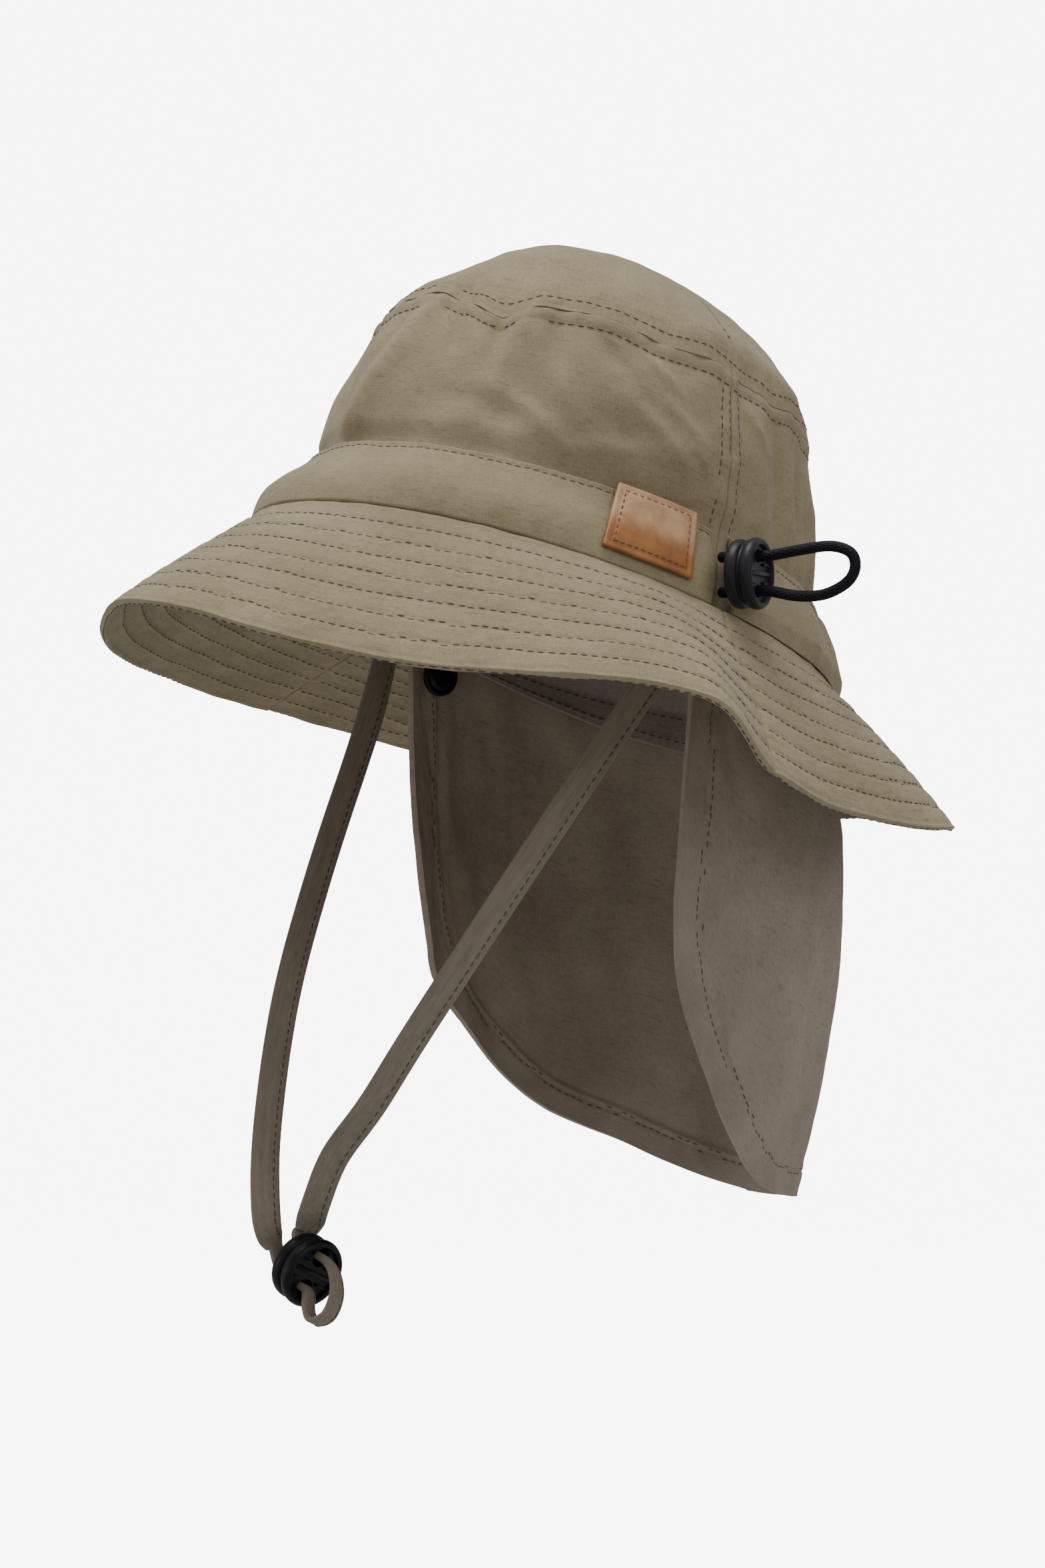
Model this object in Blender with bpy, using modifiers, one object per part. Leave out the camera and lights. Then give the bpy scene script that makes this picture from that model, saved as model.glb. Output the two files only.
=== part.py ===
"""A child's bucket sun hat with a neck flap, a chin strap and an elastic drawcord.

The hat is where it sits on an upright head that looks along -Y. The origin is the centre of
the head opening, in the plane of the brim seam, with +Z up and +X at the wearer's left. The
hat itself is tipped back, and its flap and strap hang straight down from it. Angles round
the hat start at the wearer's left and turn towards the back.
"""

import bisect
import math
from collections import namedtuple

import bmesh
import bpy
from mathutils import Matrix, Vector

# How far the hat is tipped back on the head
TIP_BACK = math.radians(18.0)

# Steps of the shared mesh round the hat, so that sewn pieces have parallel facets
TURN_STEPS = 60
STEP = math.tau / TURN_STEPS

# Cloth, and the gap between sewn pieces
CLOTH = 0.0012
BRIM_CLOTH = 0.0020
BAND_CLOTH = 0.0014
SEAM_GAP = 0.0005

# Crown
RIM_LENGTH = 0.1936
RIM_WIDTH = 0.1510
WALL_HEIGHT = 0.0709
DOME_HEIGHT = 0.0345

# Band, and the slit in it at the wearer's left that lets the drawcord out
BAND_HEIGHT = 0.0229
BACK_PUFF = 0.0034
SLIT_WIDTH = 0.0064

# Brim
BRIM_WIDTH = 0.0600
HEM_ANGLE = math.radians(5.0)

# Sweatband
SWEATBAND_RISE = 0.0170
SWEATBAND_SAG = 0.0125
SWEATBAND_LEAN = 0.0020

# Neck flap
FLAP_DROP = 0.1735
FLAP_CLOTH = 0.0014
FLAP_INSET = 0.0024
FLAP_TUCK = 0.0030
FLAP_FRONT_LEFT = math.radians(-4.0)
FLAP_FRONT_RIGHT = math.radians(176.0)
FLAP_CURL_LEFT = 0.0125
FLAP_CURL_RIGHT = 0.0075
FLAP_WAVE = 0.0016

# Chin strap
STRAP_WIDTH = 0.0082
STRAP_THICK = 0.0016
STRAP_REACH = 0.0874
STRAP_DROP = 0.1830

# Cord locks
LOCK_DIAMETER = 0.0200
LOCK_THICK = 0.0084
HOLE_SPACING = 0.0098
STRAP_HOLE = 0.0058

# Drawcord
CORD_DIAMETER = 0.0031
CORD_PLAY = 0.0003
SIDE_LOCK_OFF = 0.0092
SIDE_LOCK_BACK = 0.0040
SIDE_LOCK_RISE = 0.0102

# Leather patch
PATCH_WIDTH = 0.0250
PATCH_HEIGHT = 0.0215
PATCH_THICK = 0.0012
PATCH_RISE = 0.0146
PATCH_ANGLE = math.radians(-17.0)

# Press snaps at the flap's top corners
SNAP_DIAMETER = 0.0120
SNAP_THICK = 0.0032
SNAP_DOWN = 0.0068
SNAP_FROM_EDGE = math.radians(6.5)

# Crown wall: heights are shares of its height, the rest shares of the rim's size
Section = namedtuple("Section", "height length width shift")
WALL_SECTIONS = (
    Section(0.00, 0.978, 0.972, 0.000),
    Section(0.32, 0.844, 0.878, 0.000),
    Section(0.45, 0.838, 0.890, -0.006),
    Section(0.72, 0.798, 0.872, -0.018),
    Section(1.00, 0.722, 0.818, -0.024),
)
# Tip of the crown: heights are shares of the dome, the rest shares of its own edge
TIP_SECTIONS = (
    Section(0.00, 1.000, 1.000, 0.0),
    Section(0.24, 0.950, 0.950, 0.0),
    Section(0.50, 0.818, 0.818, 0.0),
    Section(0.74, 0.650, 0.650, 0.0),
    Section(0.90, 0.490, 0.490, 0.0),
    Section(0.98, 0.235, 0.235, 0.0),
)
BAND_SECTIONS = (
    Section(0.00, 1.000, 1.000, 0.000),
    Section(0.50, 0.938, 0.960, 0.000),
    Section(1.00, 0.866, 0.906, 0.000),
)

# Dents pressed into the crown: height and tall are shares of the whole crown
Dent = namedtuple("Dent", "angle height depth wide tall")
DENTS = (
    Dent(-78, 0.70, 0.0050, 9, 0.10),
    Dent(-60, 0.62, -0.0016, 12, 0.12),
    Dent(-112, 0.50, 0.0026, 16, 0.16),
    Dent(-123, 0.84, 0.0076, 30, 0.13),
    Dent(9, 0.69, 0.0030, 7, 0.08),
    Dent(-30, 0.46, -0.0016, 20, 0.16),
    Dent(33, 0.44, 0.0026, 9, 0.16),
    Dent(150, 0.50, 0.0030, 14, 0.14),
    Dent(100, 0.56, 0.0022, 12, 0.12),
)

# Brim: how steeply it falls below the rim's plane, and its width as a share
Slope = namedtuple("Slope", "angle slope width")
BRIM_SLOPES = (
    Slope(-180, 21, 1.00),
    Slope(-150, 34, 0.93),
    Slope(-120, 47, 0.87),
    Slope(-90, 46, 0.93),
    Slope(-60, 53, 1.00),
    Slope(-36, 46, 1.00),
    Slope(-15, 36, 1.00),
    Slope(0, 49, 1.00),
    Slope(15, 50, 1.00),
    Slope(36, 36, 0.99),
    Slope(60, 32, 0.76),
    Slope(90, 22, 0.69),
    Slope(120, 32, 0.75),
    Slope(150, 17, 0.97),
)
BRIM_ROWS = (1.0, 0.88, 0.68, 0.46, 0.22, 0.0)

# Hem of the flap: how far below the origin, as a share of its drop
Hem = namedtuple("Hem", "angle drop")
FLAP_HEM = (
    Hem(-4, 0.55),
    Hem(0, 0.677),
    Hem(4, 0.77),
    Hem(8, 0.835),
    Hem(12, 0.885),
    Hem(20, 0.935),
    Hem(40, 0.975),
    Hem(90, 1.00),
    Hem(120, 0.95),
    Hem(140, 0.89),
    Hem(150, 0.85),
    Hem(160, 0.77),
    Hem(167, 0.695),
    Hem(171, 0.635),
    Hem(174, 0.55),
    Hem(176, 0.43),
)
# How the flap spreads as it falls, as shares of its top edge
Drape = namedtuple("Drape", "drop length width curl")
FLAP_DRAPE = (
    Drape(0.00, 1.000, 1.000, 0.0),
    Drape(0.25, 1.060, 1.050, 0.6),
    Drape(0.50, 1.055, 1.040, 1.0),
    Drape(0.75, 1.000, 0.985, 1.0),
    Drape(1.00, 0.895, 0.870, 0.6),
)
FLAP_COLUMNS = 32
FLAP_ROWS = 9

# The chin lock faces the wearer's left, and its holes lean
CHIN_LOCK_FACES = Vector((0.948, 0.040, -0.300))
CHIN_LOCK_UP = Vector((0.260, 0.430, 0.860))
SIDE_LOCK_FACES = Vector((0.905, 0.424, 0.0))
SIDE_LOCK_UP = Vector((0.0, 0.0, 1.0))

# Width direction of the strap along its route
ACROSS_LEFT_TOP = Vector((0.0, -0.85, 0.50))
ACROSS_LEFT = Vector((-0.57, -0.69, 0.46))
ACROSS_LOCK = Vector((0.163, -0.893, 0.397))
ACROSS_RIGHT = Vector((-0.51, -0.62, 0.16))
ACROSS_RIGHT_TOP = Vector((0.0, -0.90, 0.35))

# Route of the chin strap: side is a share of half the rim's width, forward and down are
# shares of how far the lock is from the origin
Stop = namedtuple("Stop", "side forward down across")
LEFT_LEG = (
    Stop(0.901, 0.046, -0.014, ACROSS_LEFT_TOP),
    Stop(0.898, 0.075, 0.035, ACROSS_LEFT_TOP),
    Stop(0.834, 0.195, 0.115, ACROSS_LEFT),
    Stop(0.623, 0.511, 0.370, ACROSS_LEFT),
    Stop(0.318, 0.752, 0.629, ACROSS_LEFT),
    Stop(0.158, 0.842, 0.750, ACROSS_LEFT),
    Stop(0.052, 0.922, 0.830, ACROSS_LEFT),
    Stop(-0.013, 0.957, 0.905, ACROSS_LEFT),
    Stop(-0.075, 0.947, 0.944, ACROSS_LOCK),
)
RIGHT_LEG = (
    Stop(-0.205, 1.030, 0.929, ACROSS_RIGHT),
    Stop(-0.362, 0.930, 0.803, ACROSS_RIGHT),
    Stop(-0.580, 0.715, 0.601, ACROSS_RIGHT),
    Stop(-0.752, 0.455, 0.393, ACROSS_RIGHT),
    Stop(-0.868, 0.192, 0.175, ACROSS_RIGHT),
    Stop(-0.898, 0.075, 0.035, ACROSS_RIGHT_TOP),
    Stop(-0.901, 0.046, -0.014, ACROSS_RIGHT_TOP),
)
# Through the lock: out of its face and up it are shares of its radius
Pass = namedtuple("Pass", "out up wide thick")
HOLE_SHARE = HOLE_SPACING / LOCK_DIAMETER
LOCK_LOOP = (
    Pass(-0.92, 0.66, 0.66, 1.10),
    Pass(-0.64, HOLE_SHARE, 0.54, 1.35),
    Pass(0.00, HOLE_SHARE, 0.54, 1.35),
    Pass(0.50, HOLE_SHARE, 0.54, 1.35),
    Pass(1.00, 0.34, 0.62, 1.10),
    Pass(1.48, -0.12, 0.68, 1.00),
    Pass(1.60, -0.72, 0.68, 1.00),
    Pass(1.22, -1.08, 0.68, 1.00),
    Pass(0.80, -0.86, 0.60, 1.10),
    Pass(0.48, -HOLE_SHARE, 0.54, 1.35),
    Pass(0.00, -HOLE_SHARE, 0.54, 1.35),
    Pass(-0.60, -HOLE_SHARE, 0.54, 1.35),
    Pass(-1.02, -0.30, 0.66, 1.10),
    Pass(-1.48, 0.02, 0.80, 1.00),
)

# Drawcord loop: out of the side lock's face, back and up, in metres from the lock's centre
HOLE_UP = HOLE_SPACING / 2
CORD_ROUTE = (
    (-0.0086, 0.0014, HOLE_UP),
    (-0.0066, 0.0003, HOLE_UP),
    (-0.0046, 0.0000, HOLE_UP),
    (0.0000, 0.0000, HOLE_UP),
    (0.0060, 0.0000, HOLE_UP),
    (0.0150, 0.0000, 0.0062),
    (0.0240, 0.0000, 0.0070),
    (0.0298, 0.0000, 0.0050),
    (0.0310, 0.0000, 0.0008),
    (0.0285, 0.0000, -0.0032),
    (0.0220, 0.0000, -0.0062),
    (0.0140, 0.0000, -0.0064),
    (0.0060, 0.0000, -HOLE_UP),
    (0.0000, 0.0000, -HOLE_UP),
    (-0.0046, 0.0000, -HOLE_UP),
    (-0.0066, 0.0003, -HOLE_UP),
    (-0.0086, 0.0014, -HOLE_UP),
)
CORD_POINTS = 49

# Turned outline of a cord lock: radius and height are shares of its radius and half thickness
Ring = namedtuple("Ring", "radius height")
LOCK_OUTLINE = (
    Ring(0.00, 0.62),
    Ring(0.76, 0.62),
    Ring(0.82, 1.00),
    Ring(0.91, 1.00),
    Ring(1.00, 0.74),
    Ring(1.00, 0.26),
    Ring(0.88, 0.08),
    Ring(0.88, -0.10),
    Ring(0.96, -0.30),
    Ring(0.96, -0.78),
    Ring(0.86, -1.00),
    Ring(0.00, -1.00),
)
LOCK_STEPS = 18

# Colours, as linear red, green and blue
OLIVE = (0.33, 0.29, 0.20)
OLIVE_SHADE = (0.22, 0.19, 0.14)
LEATHER = (0.46, 0.18, 0.05)
BLACK_PLASTIC = (0.018, 0.018, 0.022)
BLACK_ELASTIC = (0.010, 0.010, 0.014)


def clear_scene():
    for thing in list(bpy.data.objects):
        bpy.data.objects.remove(thing)


def add_collection(name):
    collection = bpy.data.collections.new(name)
    bpy.context.scene.collection.children.link(collection)
    return collection


def add_material(name, colour, roughness):
    material = bpy.data.materials.new(name)
    material.use_nodes = True
    shader = material.node_tree.nodes["Principled BSDF"]
    shader.inputs["Base Color"].default_value = (*colour, 1.0)
    shader.inputs["Roughness"].default_value = roughness
    shader.inputs["Metallic"].default_value = 0.0
    return material


def curve_value(before, start, end, after, share):
    """A smooth curve between start and end that also heeds the values beside them."""
    slope = end - before
    bend = 2 * before - 5 * start + 4 * end - after
    turn = 3 * (start - end) + after - before
    return start + 0.5 * share * (slope + share * (bend + share * turn))


def read_table(rows, column, at, turn=None):
    """One column of a table, read with a smooth curve through its rows."""
    keys = [row[0] for row in rows]
    values = [getattr(row, column) for row in rows]
    count = len(rows)
    if turn:
        at = keys[0] + (at - keys[0]) % turn
        first = bisect.bisect_right(keys, at) - 1
        picks = [values[(first + step) % count] for step in (-1, 0, 1, 2)]
        span = (keys[(first + 1) % count] - keys[first]) % turn
    else:
        at = min(max(at, keys[0]), keys[-1])
        first = min(bisect.bisect_right(keys, at) - 1, count - 2)
        picks = [values[min(max(first + step, 0), count - 1)] for step in (-1, 0, 1, 2)]
        span = keys[first + 1] - keys[first]
    return curve_value(*picks, (at - keys[first]) / span)


def smooth_route(points, count):
    """Evenly numbered points along a smooth curve through a route's own points."""
    last = len(points) - 1
    route = []
    for step in range(count):
        place = step * last / (count - 1)
        first = min(int(place), last - 1)
        picks = [points[min(max(first + near, 0), last)] for near in (-1, 0, 1, 2)]
        route.append(curve_value(*picks, place - first))
    return route


def oval(angle, length, width, height, shift=0.0):
    return Vector((width / 2 * math.cos(angle), shift + length / 2 * math.sin(angle), height))


def oval_outward(angle):
    """Level direction straight out of the rim's oval."""
    normal = Vector((RIM_LENGTH * math.cos(angle), RIM_WIDTH * math.sin(angle), 0.0))
    return normal.normalized()


def seated(point):
    """A place on the hat, after the hat is tipped back."""
    return Matrix.Rotation(-TIP_BACK, 4, "X") @ Vector(point)


def dented(point, angle):
    """Press the crown's dents into a point, towards the middle of the crown."""
    crown_height = WALL_HEIGHT + DOME_HEIGHT
    heart = Vector((0.0, 0.0, WALL_HEIGHT / 2))
    depth = 0.0
    for dent in DENTS:
        turned = (math.degrees(angle) - dent.angle + 180) % 360 - 180
        rise = point.z / crown_height - dent.height
        depth += dent.depth * math.exp(-((turned / dent.wide) ** 2) - (rise / dent.tall) ** 2)
    return point + (heart - point).normalized() * depth


def wall_point(angle, rise):
    """Outside of the crown's wall, at a share of its height."""
    length = RIM_LENGTH * read_table(WALL_SECTIONS, "length", rise)
    width = RIM_WIDTH * read_table(WALL_SECTIONS, "width", rise)
    shift = RIM_LENGTH * read_table(WALL_SECTIONS, "shift", rise)
    point = oval(angle, length, width, WALL_HEIGHT * rise, shift)
    above_band = WALL_HEIGHT * rise - BAND_HEIGHT
    if above_band <= SEAM_GAP:
        return point
    fade = min(1.0, above_band / (WALL_HEIGHT - BAND_HEIGHT) * 3)
    return point.lerp(dented(point, angle), fade)


def tip_point(angle, rise):
    """Outside of the crown's tip, at a share of the dome's height."""
    edge = WALL_SECTIONS[-1]
    length = RIM_LENGTH * edge.length * read_table(TIP_SECTIONS, "length", rise)
    width = RIM_WIDTH * edge.width * read_table(TIP_SECTIONS, "width", rise)
    height = WALL_HEIGHT + SEAM_GAP + DOME_HEIGHT * rise
    return dented(oval(angle, length, width, height, RIM_LENGTH * edge.shift), angle)


def band_point(angle, rise, puff=0.0):
    """Outside of the band, at a share of its height."""
    length = RIM_LENGTH * read_table(BAND_SECTIONS, "length", rise)
    width = RIM_WIDTH * read_table(BAND_SECTIONS, "width", rise)
    point = oval(angle, length, width, SEAM_GAP + BAND_HEIGHT * rise)
    return point + oval_outward(angle) * puff


def brim_point(angle, share):
    """Top of the brim, at a share of its width out from the rim."""
    turned = math.degrees(angle)
    slope = math.radians(read_table(BRIM_SLOPES, "slope", turned, 360))
    width = BRIM_WIDTH * read_table(BRIM_SLOPES, "width", turned, 360)
    slope += HEM_ANGLE * (share - 0.5)
    reach = width * share
    out = reach * math.cos(slope) * oval_outward(angle)
    return oval(angle, RIM_LENGTH, RIM_WIDTH, 0.0) + out - Vector((0, 0, reach * math.sin(slope)))


def flap_point(angle, drop):
    """Outside of the flap, at a share of the way from its top edge to its hem."""
    inset = 2 * FLAP_INSET
    top = seated(oval(angle, RIM_LENGTH - inset, RIM_WIDTH - inset, -FLAP_TUCK))
    hem = -FLAP_DROP * read_table(FLAP_HEM, "drop", math.degrees(angle))
    height = top.z + (hem - top.z) * drop
    fallen = min(1.0, (top.z - height) / (FLAP_DROP + top.z))
    span = FLAP_FRONT_RIGHT - FLAP_FRONT_LEFT
    from_edge = min(angle - FLAP_FRONT_LEFT, FLAP_FRONT_RIGHT - angle) / span
    deepest = FLAP_CURL_LEFT if top.x > 0 else FLAP_CURL_RIGHT
    curl = deepest * read_table(FLAP_DRAPE, "curl", fallen) * max(0.0, 1 - from_edge / 0.16) ** 2
    wave = FLAP_WAVE * fallen * math.sin(9 * angle) * min(1.0, from_edge * 8)
    point = Vector((
        top.x * read_table(FLAP_DRAPE, "width", fallen),
        top.y * read_table(FLAP_DRAPE, "length", fallen),
        height,
    ))
    point.x -= math.copysign(curl, top.x)
    return point + oval_outward(angle) * wave


def add_object(name, mesh, collection, material):
    thing = bpy.data.objects.new(name, mesh)
    collection.objects.link(thing)
    if material:
        mesh.materials.append(material)
    return thing


def skin(name, rows, closed=False, pole=None):
    """Faces between rows of points that are listed from the lowest row up."""
    work = bmesh.new()
    grid = [[work.verts.new(point) for point in row] for row in rows]
    across = len(rows[0]) if closed else len(rows[0]) - 1
    for low, high in zip(grid, grid[1:]):
        for i in range(across):
            j = (i + 1) % len(low)
            work.faces.new((low[i], low[j], high[j], high[i]))
    if pole:
        centre = work.verts.new(pole)
        top = grid[-1]
        for i in range(across):
            work.faces.new((top[i], top[(i + 1) % len(top)], centre))
    mesh = bpy.data.meshes.new(name)
    work.to_mesh(mesh)
    work.free()
    mesh.shade_smooth()
    return mesh


def thicken(thing, thickness):
    """Give an open skin its thickness, on its inner side."""
    solid = thing.modifiers.new("cloth", "SOLIDIFY")
    solid.thickness = thickness
    solid.offset = -1.0
    solid.use_rim = True


def sewn(name, rows, thickness, looks, closed=False, pole=None):
    collection, hat, material = looks
    thing = add_object(name, skin(name, rows, closed, pole), collection, material)
    thicken(thing, thickness)
    thing.parent = hat
    return thing


def steps_between(start, end, gap_start, gap_end):
    """Shared steps of the mesh from one angle to another, drawn in at both ends."""
    count = round((end - start) / STEP)
    angles = [start + STEP * i for i in range(count + 1)]
    angles[0] += gap_start
    angles[-1] -= gap_end
    return angles


def half_gap(width):
    """Angle at the wearer's side that half a gap of this width takes up."""
    return width / RIM_WIDTH


def crown(collection, hat):
    material = add_material("crown cotton", OLIVE, 0.9)
    looks = (collection, hat, material)
    seam = half_gap(SEAM_GAP)
    rises = (SEAM_GAP / WALL_HEIGHT, 0.16, 0.32, 0.38, 0.50, 0.64, 0.78, 0.90, 1.0)
    halves = {"crown_wall_front": (-math.pi, 0.0), "crown_wall_back": (0.0, math.pi)}
    for name, (start, end) in halves.items():
        angles = steps_between(start, end, seam, seam)
        rows = [[wall_point(angle, rise) for angle in angles] for rise in rises]
        sewn(name, rows, CLOTH, looks)
    whole = [STEP * i for i in range(TURN_STEPS)]
    rises = (0.0, 0.13, 0.26, 0.42, 0.60, 0.78, 0.91, 0.98)
    rows = [[tip_point(angle, rise) for angle in whole] for rise in rises]
    shift = RIM_LENGTH * WALL_SECTIONS[-1].shift
    pole = Vector((0.0, shift, WALL_HEIGHT + SEAM_GAP + DOME_HEIGHT))
    sewn("crown_tip", rows, CLOTH, looks, closed=True, pole=pole)


def hat_band(collection, hat):
    material = add_material("band cotton", OLIVE, 0.9)
    looks = (collection, hat, material)
    slit = half_gap(SLIT_WIDTH)
    seam = half_gap(SEAM_GAP)
    angles = steps_between(-math.pi, 0.0, seam, slit)
    rows = [[band_point(angle, rise) for angle in angles] for rise in (0.0, 0.25, 0.5, 0.75, 1.0)]
    sewn("hat_band_front", rows, BAND_CLOTH, looks)
    angles = steps_between(0.0, math.pi, slit, seam)
    profile = {0.0: 0.35, 0.22: 1.0, 0.5: 0.85, 0.78: 0.5, 1.0: 0.0}
    rows = []
    for rise, share in profile.items():
        puffs = [BACK_PUFF * share * (math.sin(a) ** 0.5 + 0.12 * math.sin(15 * a)) for a in angles]
        rows.append([band_point(a, rise, max(0.0, puff)) for a, puff in zip(angles, puffs)])
    sewn("hat_band_back", rows, BAND_CLOTH, looks)


def brim(collection, hat):
    material = add_material("brim cotton", OLIVE, 0.9)
    looks = (collection, hat, material)
    seam = half_gap(SEAM_GAP)
    halves = {"brim_front": (-math.pi, 0.0), "brim_back": (0.0, math.pi)}
    for name, (start, end) in halves.items():
        angles = steps_between(start, end, seam, seam)
        rows = [[brim_point(angle, share) for angle in angles] for share in BRIM_ROWS]
        sewn(name, rows, BRIM_CLOTH, looks)


def sweatband(collection, hat):
    """A ring inside the wall, whose back part hangs a little below the rim."""
    material = add_material("sweatband cotton", OLIVE_SHADE, 0.95)
    inside_wall = CLOTH * 1.15 + SEAM_GAP
    angles = [STEP * i for i in range(TURN_STEPS)]
    rows = []
    for rise in (-1.0, -0.45, 0.0, 0.5, 1.0):
        row = []
        for angle in angles:
            sag = SWEATBAND_SAG * max(0.0, math.sin(angle)) ** 1.5 + SEAM_GAP * 3
            height = SWEATBAND_RISE * rise if rise > 0 else sag * rise
            wall = wall_point(angle, max(0.0, height) / WALL_HEIGHT)
            lean = SWEATBAND_LEAN * max(0.0, -rise) * sag / SWEATBAND_SAG
            point = wall - oval_outward(angle) * (inside_wall + lean)
            row.append(Vector((point.x, point.y, height)))
        rows.append(row)
    sewn("sweatband", rows, CLOTH, (collection, hat, material), closed=True)


def flap_angles():
    """Columns of the flap, closer together towards its front edges."""
    span = FLAP_FRONT_RIGHT - FLAP_FRONT_LEFT
    shares = [i / FLAP_COLUMNS for i in range(FLAP_COLUMNS + 1)]
    eased = [share - 0.10 * math.sin(math.tau * share) for share in shares]
    return [FLAP_FRONT_LEFT + span * share for share in eased]


def neck_flap(collection):
    material = add_material("flap cotton", OLIVE_SHADE, 0.95)
    drops = [1 - i / FLAP_ROWS for i in range(FLAP_ROWS + 1)]
    rows = [[flap_point(angle, drop) for angle in flap_angles()] for drop in drops]
    flap = add_object("neck_flap", skin("neck_flap", rows), collection, material)
    thicken(flap, FLAP_CLOTH)


def snaps(collection):
    """Round press snaps on the flap's inner side, near its two top corners."""
    material = add_material("snap plastic", BLACK_PLASTIC, 0.35)
    places = {
        "snap_left": FLAP_FRONT_LEFT + SNAP_FROM_EDGE,
        "snap_right": FLAP_FRONT_RIGHT - SNAP_FROM_EDGE,
    }
    for name, angle in places.items():
        hem_drop = FLAP_DROP * read_table(FLAP_HEM, "drop", math.degrees(angle))
        drop = SNAP_DOWN / hem_drop
        here = flap_point(angle, drop)
        along = flap_point(angle + STEP / 2, drop) - flap_point(angle - STEP / 2, drop)
        upward = flap_point(angle, drop - 0.02) - flap_point(angle, drop + 0.02)
        outward = along.cross(upward).normalized()
        inset = FLAP_CLOTH + SEAM_GAP + SNAP_THICK / 2
        centre = here - outward * inset
        work = bmesh.new()
        bmesh.ops.create_cone(
            work, cap_ends=True, segments=20, radius1=SNAP_DIAMETER / 2,
            radius2=SNAP_DIAMETER / 2, depth=SNAP_THICK,
        )
        mesh = bpy.data.meshes.new(name)
        work.to_mesh(mesh)
        work.free()
        snap = add_object(name, mesh, collection, material)
        turn = outward.to_track_quat("Z", "Y").to_matrix().to_4x4()
        snap.matrix_world = Matrix.Translation(centre) @ turn
        edge = snap.modifiers.new("rounded edge", "BEVEL")
        edge.width = SNAP_THICK / 4
        edge.segments = 2
        edge.limit_method = "ANGLE"


def lock_frame(centre, faces, up):
    """Matrix of a cord lock: local Z out of its face, local Y from its lower hole up."""
    z = faces.normalized()
    x = up.cross(z).normalized()
    y = z.cross(x)
    turn = Matrix((x, y, z)).transposed().to_4x4()
    return Matrix.Translation(centre) @ turn


def cord_lock(name, frame, hole, collection, cutters, material):
    """Two thick discs with a groove between them, a dished face and two holes."""
    radius = LOCK_DIAMETER / 2
    half = LOCK_THICK / 2
    work = bmesh.new()
    verts = [work.verts.new((radius * ring.radius, 0.0, half * ring.height)) for ring in LOCK_OUTLINE]
    for first, second in zip(verts, verts[1:]):
        work.edges.new((first, second))
    mesh = bpy.data.meshes.new(name)
    work.to_mesh(mesh)
    work.free()
    lock = add_object(name, mesh, collection, material)
    lock.matrix_world = frame
    turned = lock.modifiers.new("turned", "SCREW")
    turned.angle = math.tau
    turned.steps = LOCK_STEPS
    turned.render_steps = LOCK_STEPS
    turned.use_merge_vertices = True
    turned.merge_threshold = 0.00001
    for side in (-1, 1):
        work = bmesh.new()
        bmesh.ops.create_cone(
            work, cap_ends=True, segments=14, radius1=hole / 2, radius2=hole / 2,
            depth=LOCK_THICK * 2,
        )
        cutter_name = f"{name}_hole_{'upper' if side > 0 else 'lower'}"
        mesh = bpy.data.meshes.new(cutter_name)
        work.to_mesh(mesh)
        work.free()
        cutter = add_object(cutter_name, mesh, cutters, None)
        cutter.matrix_world = frame @ Matrix.Translation((0.0, side * HOLE_SPACING / 2, 0.0))
        cutter.hide_render = True
        cutter.display_type = "WIRE"
        cut = lock.modifiers.new("hole", "BOOLEAN")
        cut.operation = "DIFFERENCE"
        cut.solver = "EXACT"
        cut.object = cutter
    return lock


def chin_lock_frame():
    centre = Vector((0.0, -STRAP_REACH, -STRAP_DROP))
    return lock_frame(centre, CHIN_LOCK_FACES, CHIN_LOCK_UP)


def leg_place(stop):
    return Vector((stop.side * RIM_WIDTH / 2, -stop.forward * STRAP_REACH, -stop.down * STRAP_DROP))


def chin_strap(collection):
    """One flat tape from inside the left of the rim, through the lock and back to the right."""
    material = add_material("strap cotton", OLIVE_SHADE, 0.95)
    frame = chin_lock_frame()
    radius = LOCK_DIAMETER / 2
    stops = [(leg_place(stop), stop.across, 1.0, 1.0) for stop in LEFT_LEG]
    for step in LOCK_LOOP:
        place = frame @ Vector((0.0, step.up * radius, step.out * radius))
        stops.append((place, ACROSS_LOCK, step.wide, step.thick))
    stops += [(leg_place(stop), stop.across, 1.0, 1.0) for stop in RIGHT_LEG]
    count = 3 * (len(stops) - 1) + 1
    places = smooth_route([stop[0] for stop in stops], count)
    across = smooth_route([stop[1] for stop in stops], count)
    wide = smooth_route([stop[2] for stop in stops], count)
    thick = smooth_route([stop[3] for stop in stops], count)
    work = bmesh.new()
    loops = []
    for i, place in enumerate(places):
        ahead = (places[min(i + 1, count - 1)] - places[max(i - 1, 0)]).normalized()
        side = (across[i] - ahead * across[i].dot(ahead)).normalized()
        face = side.cross(ahead)
        half_wide = side * STRAP_WIDTH / 2 * wide[i]
        half_thick = face * STRAP_THICK / 2 * thick[i]
        corners = (half_wide + half_thick, half_thick - half_wide, -half_wide - half_thick,
                   half_wide - half_thick)
        loops.append([work.verts.new(place + corner) for corner in corners])
    for low, high in zip(loops, loops[1:]):
        for i in range(4):
            j = (i + 1) % 4
            work.faces.new((low[i], low[j], high[j], high[i]))
    work.faces.new(reversed(loops[0]))
    work.faces.new(loops[-1])
    bmesh.ops.recalc_face_normals(work, faces=work.faces)
    mesh = bpy.data.meshes.new("chin_strap")
    work.to_mesh(mesh)
    work.free()
    mesh.shade_smooth()
    add_object("chin_strap", mesh, collection, material)


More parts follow.
